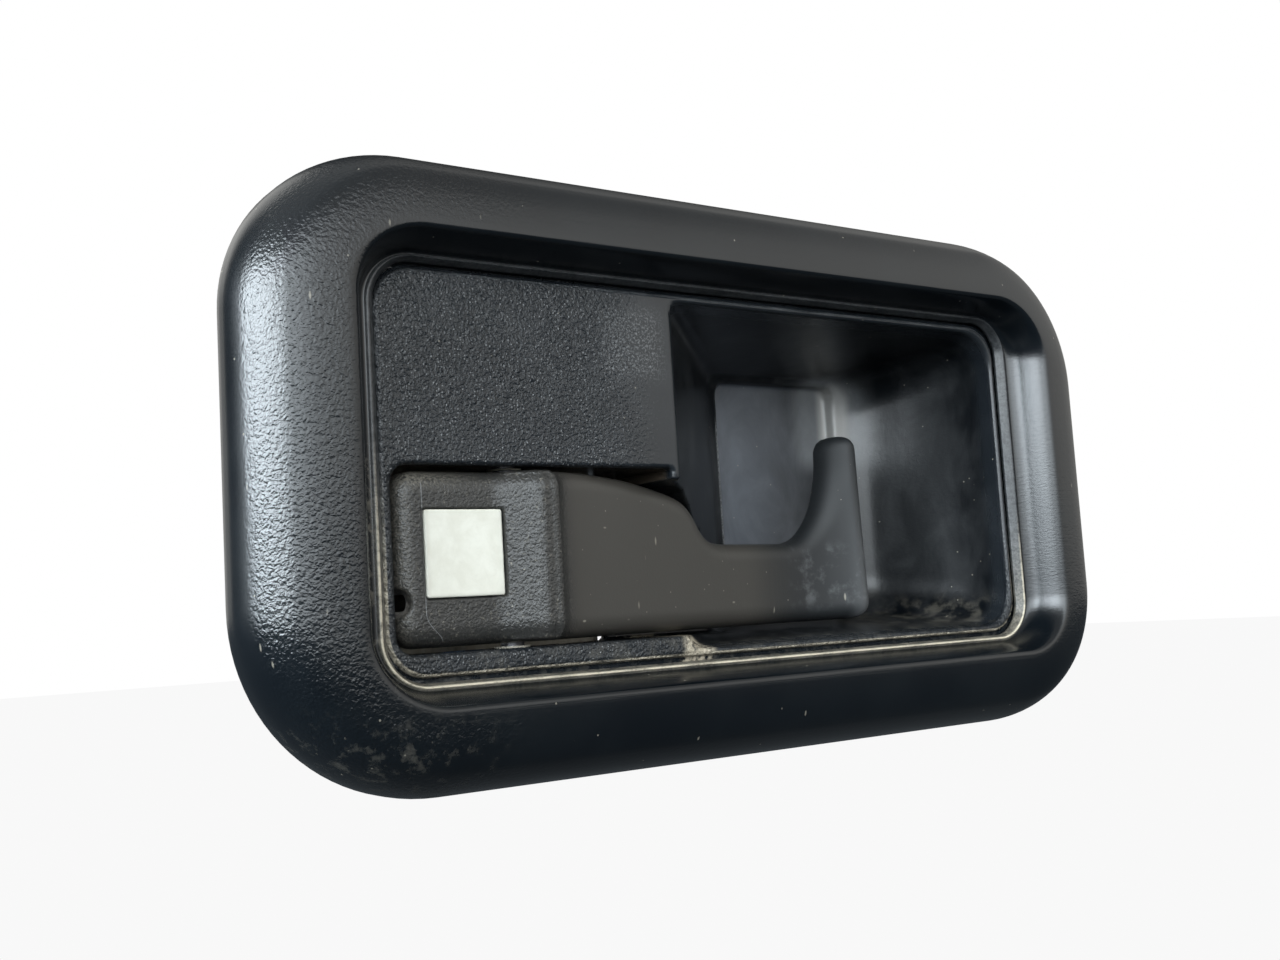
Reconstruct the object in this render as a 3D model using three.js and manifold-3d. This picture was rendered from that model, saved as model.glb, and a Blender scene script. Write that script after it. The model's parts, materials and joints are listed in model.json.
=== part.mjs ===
// Inside door handle: a trim bezel clipped over a moulded bowl, with a hinged pull lever.
// Millimetres. +X along the handle to the user's right, +Y into the door, +Z up.
// The origin is the centre of the bezel's back rim, where it meets the door trim.

import * as THREE from 'three';
import { mergeVertices } from 'three/addons/utils/BufferGeometryUtils.js';
import Module from 'manifold-3d';

const wasm = await Module();
wasm.setup();

// ---------------------------------------------------------------- driving dimensions

// Corner radii run from the lower right, anticlockwise as seen from the front.
const BEZEL = { halfX: 94.3, halfZ: 51.4, radii: [28.7, 34, 26.7, 31] };
const LIP = { halfX: 74, halfZ: 34, radius: 8 };
const CROWN_Y = -17.4;
const BEZEL_WALL = 2.3;
// The bezel's outer shoulder is a full quarter round, followed until it has turned by sweep degrees.
const SHOULDER = { y: -3, reach: 10, fullness: 1.14, sweep: 60, steps: 5 };
const SEAL_INSET = 3.8;

const FLANGE = { halfX: 87, halfZ: 45.2, radius: 21, front: -7.4, back: -5.4 };
const PANEL = { halfX: 72.4, halfZ: 32.4, radius: 7, front: -8.8, back: -6.6, rightEdge: -14.3 };

const CUP_FLOOR_Y = 26;
const CUP_WALL = 2.2;
const BAY = {
  left: -70.9, bottom: -29, top: 1, stepX: -16.2, openTo: -20.5, back: 11, wall: 2, radius: 3.6,
};

const PIVOT = { x: -46.5, y: -1.5 };
const PIN_R = 2;
const LEVER = { left: -69.8, right: 41, bottom: -28, top: 0.2, neck: -12, finTop: 10 };
const LEVER_WALL = 2.3;
const TILE = { x: -57.9, z: -13.2, side: 14, front: -7.9, thick: 1 };
const NOTCH = { z: -20.7, radius: 2.2 };

const SPRING = { meanR: 3.75, wireR: 0.5, low: -10.9, high: -4.4, turns: 5.5 };
const BRACKET = { front: 11.3, thick: 1.5, left: -68, right: -21, top: 15 };
const EARS = { upper: [3.4, 4.9], lower: [-32.9, -31.4], left: -54, right: -39, front: -6.2 };
const BRACKET_SCREWS = [[-63, 9.5], [-27, 9.5], [-60, -37]];

const CRANK = { z: -19.2, thick: 2, endY: 21.5, plateY: 5.8 };
const CRANK_SCREWS = [[-39, -23.5], [-30, -23.5]];
const REST_BUFFER = { x: -24.5, z: -8, front: 6.3, radius: 3.5 };
const OPEN_BUFFER = { x: -63.5, z: -10, front: 8.1, radius: 3 };

const FIXINGS = [[77.6, 36.6], [-77.6, 36.6], [77.6, -36.6], [-77.6, -36.6]];
const CLIP_X = 40;
const GAP = 0.3;

// ---------------------------------------------------------------- materials

function plastic(color, roughness) {
  return new THREE.MeshStandardMaterial({ color, roughness, metalness: 0 });
}

function metal(color, roughness) {
  return new THREE.MeshStandardMaterial({ color, roughness, metalness: 1 });
}

const MATERIALS = {
  bezel: plastic(0x1b1c1e, 0.5),
  bowl: plastic(0x191b1f, 0.5),
  lever: plastic(0x24231f, 0.55),
  tile: plastic(0xcfcfc3, 0.6),
  steel: metal(0x9a9a98, 0.4),
  zinc: metal(0xb4b0a4, 0.35),
  spring: metal(0x6f6f70, 0.35),
  bush: plastic(0xd8d4c6, 0.5),
  rodClip: plastic(0x3c6a8c, 0.45),
  rubber: plastic(0x151515, 0.9),
  foam: plastic(0x2c2c2c, 1),
};

// ---------------------------------------------------------------- solids

function solid(geometry) {
  const bare = geometry.clone();
  bare.deleteAttribute('normal');
  bare.deleteAttribute('uv');
  const merged = mergeVertices(bare, 1e-5);
  return new wasm.Manifold(new wasm.Mesh({
    numProp: 3,
    vertProperties: new Float32Array(merged.attributes.position.array),
    triVerts: new Uint32Array(merged.index.array),
  }));
}

function geometryOf(manifold) {
  const mesh = manifold.getMesh();
  const geometry = new THREE.BufferGeometry();
  geometry.setAttribute('position', new THREE.BufferAttribute(mesh.vertProperties, 3));
  geometry.setIndex(new THREE.BufferAttribute(mesh.triVerts, 1));
  geometry.computeVertexNormals();
  return geometry;
}

function union(parts) {
  return parts.reduce((whole, part) => whole.add(part));
}

function box(x, y, z) {
  const geometry = new THREE.BoxGeometry(x[1] - x[0], y[1] - y[0], z[1] - z[0]);
  geometry.translate((x[0] + x[1]) / 2, (y[0] + y[1]) / 2, (z[0] + z[1]) / 2);
  return solid(geometry);
}

// An outline drawn in X and Z, extruded along Y from front to back.
function plate(shape, front, back) {
  const geometry = new THREE.ExtrudeGeometry(shape, {
    depth: back - front, bevelEnabled: false, curveSegments: 6,
  });
  geometry.rotateX(Math.PI / 2);
  geometry.translate(0, back, 0);
  return solid(geometry);
}

// An outline drawn in X and Y, extruded along Z.
function bar(shape, low, high) {
  const geometry = new THREE.ExtrudeGeometry(shape, {
    depth: high - low, bevelEnabled: false, curveSegments: 6,
  });
  geometry.translate(0, 0, low);
  return solid(geometry);
}

// An outline drawn in Y and Z, extruded along X.
function slice(shape, left, right) {
  const geometry = new THREE.ExtrudeGeometry(shape, {
    depth: right - left, bevelEnabled: false,
  });
  geometry.rotateX(Math.PI / 2);
  geometry.rotateZ(Math.PI / 2);
  geometry.translate(left, 0, 0);
  return solid(geometry);
}

function rodAlongY(x, z, radius, front, back, sides = 16) {
  const geometry = new THREE.CylinderGeometry(radius, radius, back - front, sides);
  geometry.translate(x, (front + back) / 2, z);
  return solid(geometry);
}

function rodAlongZ(x, y, radius, low, high, sides = 28) {
  const geometry = new THREE.CylinderGeometry(radius, radius, high - low, sides);
  geometry.rotateX(Math.PI / 2);
  geometry.translate(x, y, (low + high) / 2);
  return solid(geometry);
}

function rodAlongX(y, z, radius, left, right, sides = 16) {
  const geometry = new THREE.CylinderGeometry(radius, radius, right - left, sides);
  geometry.rotateZ(Math.PI / 2);
  geometry.translate((left + right) / 2, y, z);
  return solid(geometry);
}

function roundedRectangle(left, right, bottom, top, radius) {
  const shape = new THREE.Shape();
  shape.moveTo(left + radius, bottom);
  shape.lineTo(right - radius, bottom);
  shape.absarc(right - radius, bottom + radius, radius, -Math.PI / 2, 0);
  shape.lineTo(right, top - radius);
  shape.absarc(right - radius, top - radius, radius, 0, Math.PI / 2);
  shape.lineTo(left + radius, top);
  shape.absarc(left + radius, top - radius, radius, Math.PI / 2, Math.PI);
  shape.lineTo(left, bottom + radius);
  shape.absarc(left + radius, bottom + radius, radius, Math.PI, Math.PI * 1.5);
  return shape;
}

function centredRectangle({ halfX, halfZ, radius }, inset = 0) {
  return roundedRectangle(-halfX + inset, halfX - inset, -halfZ + inset, halfZ - inset, radius - inset);
}

// Draws a smooth curve on from the shape's last point, through the points given.
function curveThrough(shape, points, steps) {
  const knots = [shape.currentPoint.clone(), ...points.map(([a, b]) => new THREE.Vector2(a, b))];
  const curve = new THREE.SplineCurve(knots);
  for (let i = 1; i <= steps; i += 1) {
    const point = curve.getPointAt(i / steps);
    shape.lineTo(point.x, point.y);
  }
}

function polygon(points) {
  return new THREE.Shape(points.map(([a, b]) => new THREE.Vector2(a, b)));
}

// Points round a rounded rectangle, the same number at every size, so that outlines can be joined.
function ringPoints(left, right, bottom, top, radii, steps) {
  const points = [];
  radii.forEach((radius, corner) => {
    const x = corner < 2 ? right - radius : left + radius;
    const z = corner === 1 || corner === 2 ? top - radius : bottom + radius;
    for (let i = 0; i <= steps; i += 1) {
      const angle = (corner - 1 + i / steps) * (Math.PI / 2);
      points.push([x + radius * Math.cos(angle), z + radius * Math.sin(angle)]);
    }
  });
  return points;
}

// Joins rings of equal count into a surface; each ring is a list of [x, y, z].
function ringSurface(rings, closed) {
  const count = rings[0].length;
  const positions = rings.flat(2);
  const faces = [];
  const bands = closed ? rings.length : rings.length - 1;
  for (let r = 0; r < bands; r += 1) {
    const next = (r + 1) % rings.length;
    for (let i = 0; i < count; i += 1) {
      const j = (i + 1) % count;
      const [a, b] = [r * count + i, r * count + j];
      const [c, d] = [next * count + j, next * count + i];
      faces.push(a, b, c, a, c, d);
    }
  }
  if (!closed) {
    const last = (rings.length - 1) * count;
    for (let i = 1; i < count - 1; i += 1) {
      faces.push(0, i + 1, i);
      faces.push(last, last + i, last + i + 1);
    }
  }
  const geometry = new THREE.BufferGeometry();
  geometry.setAttribute('position', new THREE.Float32BufferAttribute(positions, 3));
  geometry.setIndex(faces);
  return geometry;
}

// A tapering block through rounded rectangles, from the deepest section to the front one.
function taperedBlock(sections) {
  const rings = sections.map(({ y, left, right, bottom, top, radius }) => (
    ringPoints(left, right, bottom, top, Array(4).fill(radius), 6).map(([x, z]) => [x, y, z])
  ));
  return solid(ringSurface(rings, false));
}

// A bent strip of sheet of the given thickness, drawn round its middle line.
function strip(points, thickness) {
  const line = points.map(([a, b]) => new THREE.Vector2(a, b));
  const offsets = line.map((point, i) => {
    const before = line[Math.max(i - 1, 0)];
    const after = line[Math.min(i + 1, line.length - 1)];
    const along = after.clone().sub(before).normalize();
    return new THREE.Vector2(-along.y, along.x).multiplyScalar(thickness / 2);
  });
  const one = line.map((point, i) => point.clone().add(offsets[i]));
  const other = line.map((point, i) => point.clone().sub(offsets[i]));
  return new THREE.Shape(one.concat(other.reverse()));
}

// ---------------------------------------------------------------- bezel and its seal

function centredRing({ halfX, halfZ }, inset, radii) {
  return ringPoints(inset - halfX, halfX - inset, inset - halfZ, halfZ - inset, radii, 9);
}

// The bezel's section: distance in from the outer edge, as on the long axis, and Y.
function bezelSection() {
  const front = [[0, 0]];
  for (let i = 0; i <= SHOULDER.steps; i += 1) {
    const angle = THREE.MathUtils.degToRad((i / SHOULDER.steps) * SHOULDER.sweep);
    const inward = SHOULDER.reach * (1 - Math.cos(angle) ** SHOULDER.fullness);
    front.push([inward, SHOULDER.y + (CROWN_Y - SHOULDER.y) * Math.sin(angle) ** SHOULDER.fullness]);
  }
  front.push([7, -16.05], [9, -16.7], [11, -17.08], [13, -17.33], [14.5, CROWN_Y], [15.4, -17.1]);
  front.push([16.1, -16.2], [16.7, -14.8], [17.25, -13.1], [17.8, -11.5], [18.45, -10.55], [19.1, -10.1]);
  front.push([19.6, -10], [20.2, -10.35], [20.7, -10.1], [21.6, -8.9]);
  const back = [[21.5, -8.3], [18.5, -8.4], [17.3, -9.6], [15.6, -12.2], [13.8, -14.2], [11.6, -15]];
  back.push([8.9, -14.6], [6.3, -12.7], [4.2, -9.8], [2.9, -6.8], [BEZEL_WALL, -4.2], [BEZEL_WALL, 0]);
  return front.concat(back);
}

// Along the top and bottom the crown runs closer to the lip: share of the width at the ends, and there.
const CROWN_SHIFT = [
  [0, 0], [0.3, 0.3], [0.71, 0.8], [0.77, 0.845], [0.88, 0.935], [0.94, 0.97], [1, 1], [1.1, 1.06],
];

function shiftedToLip(share) {
  const next = CROWN_SHIFT.findIndex(([from]) => from > share);
  const [[from, low], [to, high]] = [CROWN_SHIFT[next - 1], CROWN_SHIFT[next]];
  return THREE.MathUtils.mapLinear(share, from, to, low, high);
}

// How far each point of a ring runs lengthwise: 1 along the top and bottom, 0 at the ends.
function lengthwise(ring) {
  return ring.map((_, i) => {
    const [[x0, z0], [x1, z1]] = [ring.at(i - 1), ring[(i + 1) % ring.length]];
    return (x1 - x0) ** 2 / ((x1 - x0) ** 2 + (z1 - z0) ** 2);
  });
}

function makeBezel() {
  const outer = centredRing(BEZEL, 0, BEZEL.radii);
  const inner = centredRing(LIP, 0, Array(4).fill(LIP.radius));
  const along = lengthwise(outer);
  const width = BEZEL.halfX - LIP.halfX;
  const rings = bezelSection().map(([s, y]) => outer.map(([x, z], i) => {
    const t = THREE.MathUtils.lerp(s / width, shiftedToLip(s / width), along[i]);
    return [x + (inner[i][0] - x) * t, y, z + (inner[i][1] - z) * t];
  }));
  return solid(ringSurface(rings, true));
}

// The bezel's outer edge, moved in.
function bezelOutline(inset) {
  const points = centredRing(BEZEL, inset, BEZEL.radii.map((radius) => radius - inset));
  return new THREE.Shape(points.map(([x, z]) => new THREE.Vector2(x, z)));
}

function makeFoamSeal() {
  const outer = plate(bezelOutline(BEZEL_WALL + GAP), -3.9, 0);
  const inner = plate(bezelOutline(SEAL_INSET), -5, 1);
  return outer.subtract(inner);
}

// A spring clip straddles the bowl's flange edge and presses its tail on the bezel's skirt.
function makeBezelClip(x, side) {
  const edge = FLANGE.halfZ;
  const line = [
    [-8.1, edge - 6], [-8.1, edge - 0.3], [-7.2, edge + 0.8], [-5.6, edge + 0.8], [-4.7, edge - 0.3],
    [-4.7, edge - 4.5],
  ];
  const tail = [[-8, edge - 1.6], [-8.6, edge + 0.6], [-7.4, edge + 2.4]];
  tail.push([-6, edge + 3.1], [-4.6, edge + 2.6]);
  const grip = strip(line.map(([y, z]) => [y, z * side]), 0.5);
  const spring = strip(tail.map(([y, z]) => [y, z * side]), 0.45);
  return slice(grip, x - 5, x + 5).add(slice(spring, x - 3, x + 3));
}

// ---------------------------------------------------------------- bowl

// The finger cup's inner sections: the left wall slants, the right wall curves into the floor.
function cupSections(grow, deepen) {
  const mouth = { left: PANEL.rightEdge, right: 71.4, bottom: -31.4, top: 31.5 };
  const rightWall = [
    [-9.4, 71.4], [0, 70], [8, 67.4], [14, 64.6], [18.5, 62], [21.6, 59], [24, 55.2],
  ];
  const frontY = rightWall[0][0];
  const backY = CUP_FLOOR_Y - 2;
  const sections = rightWall.map(([y, right]) => {
    const depth = (y - frontY) / (backY - frontY);
    return {
      y: y === frontY ? y : y + deepen * depth,
      left: mouth.left + (y - frontY) * 1.02 - grow * 1.3,
      right: right + grow,
      bottom: mouth.bottom + 4.6 * depth - grow,
      top: mouth.top - 6.2 * depth + grow,
      radius: 5.6 - 1.2 * depth,
    };
  });
  return sections.reverse();
}

function cupHollow() {
  const taper = taperedBlock(cupSections(0, 0));
  const floor = plate(roundedRectangle(21.2, 54.2, -25.6, 24.2, 3), 20, CUP_FLOOR_Y);
  const mouth = plate(roundedRectangle(PANEL.rightEdge, 71.4, -31.4, 31.5, 5.6), -12, -9.3);
  return union([taper, floor, mouth]);
}

function cupShell() {
  const taper = taperedBlock(cupSections(CUP_WALL, 1.6));
  const floor = plate(roundedRectangle(19, 56.4, -27.8, 26.4, 4), 20, CUP_FLOOR_Y + CUP_WALL);
  const trimmed = taper.subtract(plate(roundedRectangle(-100, 100, -60, 60, 1), -12, FLANGE.front + 0.6));
  return trimmed.add(floor);
}

// The lever's slot: a long window whose upper right corner steps down over the arm. Its back is
// open behind the pivot and closed behind the arm.
function bayOutline() {
  const { left, bottom, top, stepX, radius } = BAY;
  const shape = new THREE.Shape();
  shape.moveTo(left + radius, bottom);
  shape.lineTo(7, bottom);
  shape.lineTo(7, -9);
  shape.lineTo(-0.5, -9);
  shape.lineTo(-4.6, -4.6);
  shape.lineTo(-8.5, -2.3);
  shape.lineTo(stepX, -1);
  shape.lineTo(stepX, top - 1.5);
  shape.absarc(stepX - 1.5, top - 1.5, 1.5, 0, Math.PI / 2);
  shape.lineTo(left + radius, top);
  shape.absarc(left + radius, top - radius, radius, Math.PI / 2, Math.PI);
  shape.lineTo(left, bottom + radius);
  shape.absarc(left + radius, bottom + radius, radius, Math.PI, Math.PI * 1.5);
  return shape;
}

function bowlRibs() {
  const ribs = [];
  for (const x of [8, 28, 48]) {
    ribs.push(slice(polygon([[-6, 31], [-6, 43.5], [-4, 43.5], [20, 29], [20, 24]]), x - 0.9, x + 0.9));
    const gusset = polygon([[-6, -30], [20, -25], [20, -29.5], [-4, -43.5], [-6, -43.5]]);
    ribs.push(slice(gusset, x - 0.9, x + 0.9));
  }
  for (const z of [-14, 4, 20]) {
    ribs.push(bar(polygon([[70, -6], [60, 20], [64, 20], [85.5, -4], [85.5, -6]]), z - 0.9, z + 0.9));
  }
  for (const x of [-58, -36]) {
    ribs.push(slice(polygon([[-7, 2], [-7, 31], [-5, 31], [6, 6], [6, 2]]), x - 0.8, x + 0.8));
  }
  return ribs;
}

function makeBowl() {
  const flange = plate(centredRectangle(FLANGE), FLANGE.front, FLANGE.back);
  const panel = plate(centredRectangle(PANEL), PANEL.front, FLANGE.back);
  const panelBack = plate(roundedRectangle(-69.5, -8, 3, 29.5, 5), PANEL.back, 0);
  const bayBox = box([BAY.left - BAY.wall, 6.5], [FLANGE.front, BAY.back],
    [BAY.bottom - BAY.wall, BAY.top + BAY.wall]);
  const bosses = BRACKET_SCREWS.map(([x, z]) => rodAlongY(x, z, 3.8, -6.9, BAY.back));
  const standoffs = FIXINGS.map(([x, z]) => rodAlongY(x, z, 4.2, -6.4, 0));
  const earRelief = box([-56, -37], [PANEL.back, 14], [-38.5, BAY.bottom - BAY.wall]);

  let bowl = union([flange, panel]).subtract(panelBack);
  bowl = union([bowl, bayBox, cupShell(), ...bosses, ...standoffs, ...bowlRibs()]);
  bowl = bowl.subtract(earRelief).subtract(cupHollow());
  bowl = bowl.subtract(plate(bayOutline(), -12, BAY.back - 1.6));
  const openBack = roundedRectangle(BAY.left, BAY.openTo, BAY.bottom, BAY.top, 1.5);
  bowl = bowl.subtract(plate(openBack, 5, BAY.back + 2));
  bowl = bowl.subtract(rodAlongZ(PIVOT.x, PIVOT.y, 3.4, BAY.bottom - 6, BAY.top + 6));
  for (const [x, z] of BRACKET_SCREWS) {
    bowl = bowl.subtract(rodAlongY(x, z, 1.3, -2, BAY.back + 2));
  }
  for (const [x, z] of FIXINGS) {
    bowl = bowl.subtract(rodAlongY(x, z, 2.3, -10, 2));
  }
  return bowl;
}

// ---------------------------------------------------------------- lever

// The lever seen from above: flat pad, ridge over the pivot, arm into the cup, curled tip.
function leverPlan(shift, backY, endX) {
  const front = [
    [-50.2, -9], [-47.6, -10.6], [-45.4, -11.9], [-43.8, -12.5], [-42.4, -12], [-41.2, -10.9], [-39.2, -9.7],
    [-34, -8.2],
    [-24, -5.7], [-12, -2.4], [0, 0.9], [10, 3.5], [19, 5.6], [26, 6.2], [31, 5.2], [34.6, 3.6], [37, 1.9],
  ];
  const shape = new THREE.Shape();
  shape.moveTo(-90, backY);
  shape.lineTo(-90, -7.8 + shift);
  shape.lineTo(-51.6, -7.8 + shift);
  const used = front.filter(([x]) => x <= endX);
  curveThrough(shape, used.map(([x, y]) => [x, y + shift]), 26);
  return shape;
}

function leverSection() {
  const shape = leverPlan(0, -1.8, LEVER.right);
  shape.lineTo(38.6, 1.3);
  shape.lineTo(40.3, 1.7);
  shape.lineTo(LEVER.right, 3.4);
  shape.lineTo(40, 6.8);
  shape.lineTo(36, 9.6);
  shape.lineTo(28, 11);
  shape.lineTo(18, 10.6);
  shape.lineTo(-2, 7.2);
  shape.lineTo(-24, 5.6);
  shape.lineTo(-40, 4.6);
  shape.lineTo(-52.5, 4.6);
  shape.lineTo(-55, -1.8);
  return shape;
}

function leverHollowSection() {
  const endX = 20;
  const shape = leverPlan(LEVER_WALL + 0.4, 30, endX);
  shape.lineTo(endX, 9);
  shape.lineTo(endX, 30);
  return shape;
}

// The lever seen from the front, with every edge moved in by the inset.
function leverOutline(inset) {
  const { left, right, bottom, top, neck, finTop } = LEVER;
  const corner = 4 - inset;
  const shape = new THREE.Shape();
  shape.moveTo(left + 4, bottom + inset);
  shape.lineTo(right - 3.4, bottom + inset);
  shape.absarc(right - 3.4, bottom + 3.4, 3.4 - inset, -Math.PI / 2, 0);
  shape.lineTo(right - 0.7 - inset, -4);
  shape.lineTo(right - 0.8 - inset, finTop - 2.9);
  shape.absarc(right - 3.7, finTop - 2.9, 2.9 - inset, 0, Math.PI * 0.95);
  const sweep = [[34, 2], [32, -5], [28.4, -10], [24.5, -11.8], [20, neck], [4, neck]];
  curveThrough(shape, sweep.map(([x, z]) => [x + inset * 0.7, z - inset]), 12);
  const shoulder = [[0, -11.4], [-2.6, -9.6], [-5.2, -6.2], [-8.5, -3.8], [-15, -2.1], [-24, -0.6], [-34, top]];
  curveThrough(shape, shoulder.map(([x, z]) => [x, z - inset]), 12);
  shape.lineTo(left + 4, top - inset);
  shape.absarc(left + 4, top - 4, corner, Math.PI / 2, Math.PI);
  shape.lineTo(left + inset, bottom + 4);
  shape.absarc(left + 4, bottom + 4, corner, Math.PI, Math.PI * 1.5);
  return shape;
}

function leverHub(low, high) {
  const barrel = rodAlongZ(PIVOT.x, PIVOT.y, 5.2, low, high);
  return barrel.add(box([-50, -43], [-10, PIVOT.y], [low, high]));
}

function makeLever() {
  const body = bar(leverSection(), LEVER.bottom - 5, 20).intersect(plate(leverOutline(0), -30, 30));
  const hollow = bar(leverHollowSection(), LEVER.bottom - 5, 20).intersect(plate(leverOutline(1.9), -30, 30));
  const inside = union([
    leverHub(LEVER.bottom + 0.5, SPRING.low - 1.1),
    leverHub(SPRING.high + 1.1, LEVER.top - 0.5),
    box([-65.5, -61.5], [-6.5, -2.1], [-12, -8]),
    box([-27.5, -21.5], [-4.5, 5.4], [-11, -5]),
    box([-12, -10.2], [-1, 5], [LEVER.bottom + 1, -4.5]),
    box([6, 7.8], [3, 7.5], [LEVER.bottom + 1, -13]),
    ...CRANK_SCREWS.map(([x, z]) => rodAlongY(x, z, 3.1, -8, 5.5)),
  ]);
  const reach = new THREE.Shape([
    new THREE.Vector2(-70, -6), new THREE.Vector2(-52, -6), new THREE.Vector2(-47, -10.4),
    new THREE.Vector2(-43, -10), new THREE.Vector2(9, 4.4), new THREE.Vector2(9, 8),
    new THREE.Vector2(-70, 8),
  ]);
  let lever = body.subtract(hollow);
  lever = lever.add(inside.intersect(bar(reach, -30, 2)));
  const half = TILE.side / 2 + 0.15;
  const pocket = box([TILE.x - half, TILE.x + half], [-9, TILE.front + TILE.thick + GAP],
    [TILE.z - half, TILE.z + half]);
  lever = lever.subtract(pocket);
  lever = lever.subtract(rodAlongY(LEVER.left, NOTCH.z, NOTCH.radius, -12, 8));
  lever = lever.subtract(rodAlongZ(PIVOT.x, PIVOT.y, PIN_R + 0.2, LEVER.bottom - 2, LEVER.top + 2));
  for (const [x, z] of CRANK_SCREWS) {
    lever = lever.subtract(rodAlongY(x, z, 1.3, -2, 10));
  }
  return lever;
}

function makeMarkerTile() {
  const half = TILE.side / 2;
  const shape = roundedRectangle(TILE.x - half, TILE.x + half, TILE.z - half, TILE.z + half, 0.4);
  return plate(shape, TILE.front, TILE.front + TILE.thick);
}

// ---------------------------------------------------------------- pivot

function makePivotPin() {
  const head = rodAlongZ(PIVOT.x, PIVOT.y, 3.6, 6.6, 8.2);
  const shaft = rodAlongZ(PIVOT.x, PIVOT.y, PIN_R, -36.8, 7);
  const groove = rodAlongZ(PIVOT.x, PIVOT.y, 6, -35.8, -34.7)
    .subtract(rodAlongZ(PIVOT.x, PIVOT.y, 1.5, -37, -34));
  return head.add(shaft).subtract(groove);
}

function makeBush(tubeLow, tubeHigh, flangeLow, flangeHigh) {
  const tube = rodAlongZ(PIVOT.x, PIVOT.y, 3, tubeLow, tubeHigh);
  const flange = rodAlongZ(PIVOT.x, PIVOT.y, 4.6, flangeLow, flangeHigh);
  return tube.add(flange).subtract(rodAlongZ(PIVOT.x, PIVOT.y, PIN_R + 0.15, tubeLow - 1, tubeHigh + 1));
}

function makeCirclip() {
  const disc = rodAlongZ(PIVOT.x, PIVOT.y, 3.7, -35.55, -34.95);
  const hole = rodAlongZ(PIVOT.x, PIVOT.y, 1.7, -37, -34);
  const mouth = box([PIVOT.x - 1.5, PIVOT.x + 1.5], [PIVOT.y, PIVOT.y + 8], [-37, -34]);
  return disc.subtract(hole).subtract(mouth);
}

// The torsion spring's middle line: a leg to the bracket, the coil, and a leg to the lever's arm.
class SpringPath extends THREE.Curve {
  getPoint(t) {
    const legShare = 0.1;
    const sweep = SPRING.turns * Math.PI * 2;
    const coilPoint = (u) => {
      const angle = Math.PI + u * sweep;
      return new THREE.Vector3(
        PIVOT.x + SPRING.meanR * Math.cos(angle),
        PIVOT.y + SPRING.meanR * Math.sin(angle),
        SPRING.high + (SPRING.low - SPRING.high) * u,
      );
    };
    if (t < legShare) {
      return new THREE.Vector3(PIVOT.x - SPRING.meanR, PIVOT.y + 11.6 * (1 - t / legShare), SPRING.high);
    }
    if (t > 1 - legShare) {
      const start = coilPoint(1);
      const out = (t - 1 + legShare) / legShare;
      return new THREE.Vector3(start.x, start.y + 6 * out, SPRING.low);
    }
    return coilPoint((t - legShare) / (1 - 2 * legShare));
  }
}

function makeReturnSpring() {
  const section = new THREE.Shape();
  section.absarc(0, 0, SPRING.wireR, 0, Math.PI * 2);
  return solid(new THREE.ExtrudeGeometry(section, {
    steps: 96, curveSegments: 3, bevelEnabled: false, extrudePath: new SpringPath(),
  }));
}

// ---------------------------------------------------------------- bracket, crank and stops

function makePivotBracket() {
  const back = BRACKET.front + BRACKET.thick;
  const [lowerEar, upperEar] = [EARS.lower, EARS.upper];
  const base = plate(roundedRectangle(BRACKET.left, BRACKET.right, lowerEar[0], BRACKET.top, 4),
    BRACKET.front, back);
  const tab = plate(roundedRectangle(-65, -55, -42, -28, 4), BRACKET.front, back);
  const ears = [lowerEar, upperEar].map(([low, high]) => bar(
    roundedRectangle(EARS.left, EARS.right, EARS.front, back, 1.2), low, high,
  ));
  const window = plate(roundedRectangle(-53, -28, -28, -12.5, 2), BRACKET.front - 3, back + 3);
  const upperSlot = box([EARS.left - 1.5, EARS.right + 1.5], [BRACKET.front - 1, back + 1],
    [upperEar[1], upperEar[1] + 1.6]);
  let bracket = union([base.subtract(upperSlot), tab, ...ears]).subtract(window);
  bracket = bracket.subtract(rodAlongZ(PIVOT.x, PIVOT.y, 3.25, -36, 10));
  for (const [x, z] of BRACKET_SCREWS) {
    bracket = bracket.subtract(rodAlongY(x, z, 2.1, BRACKET.front - 2, back + 2));
  }
  return bracket;
}

function makeScrewAlongY(x, z, shaftR, headR, tip, seat, headEnd) {
  const shaft = rodAlongY(x, z, shaftR, Math.min(tip, seat), Math.max(tip, seat));
  const head = rodAlongY(x, z, headR, Math.min(seat, headEnd), Math.max(seat, headEnd));
  const outward = Math.sign(headEnd - seat);
  const slots = [0.35, headR * 0.6].map((half, i) => {
    const other = i === 0 ? headR * 0.6 : 0.35;
    const deep = headEnd - outward * 0.9;
    const past = headEnd + outward;
    return box([x - half, x + half], [Math.min(deep, past), Math.max(deep, past)], [z - other, z + other]);
  });
  return shaft.add(head).subtract(union(slots));
}

function makeBracketScrew([x, z]) {
  const seat = BRACKET.front + BRACKET.thick + GAP;
  return makeScrewAlongY(x, z, 1.1, 3.3, 1, seat, seat + 2);
}

function makeCrankArm() {
  const { z, thick, endY, plateY } = CRANK;
  const flange = plate(roundedRectangle(-50, -26, -27, z + thick / 2, 1.5), plateY, plateY + thick);
  const armShape = new THREE.Shape();
  armShape.moveTo(-50, plateY);
  armShape.lineTo(-32, plateY);
  armShape.lineTo(-33, plateY + 4);
  armShape.lineTo(-42.6, endY - 3);
  armShape.absarc(PIVOT.x, endY, 5, -0.4, Math.PI + 0.3);
  armShape.lineTo(-50, plateY + 6);
  const arm = bar(armShape, z - thick / 2, z + thick / 2);
  let crank = flange.add(arm).subtract(rodAlongZ(PIVOT.x, endY, 2.3, z - 5, z + 5));
  for (const [x, screwZ] of CRANK_SCREWS) {
    crank = crank.subtract(rodAlongY(x, screwZ, 1.6, 0, 12));
  }
  return crank;
}

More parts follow.
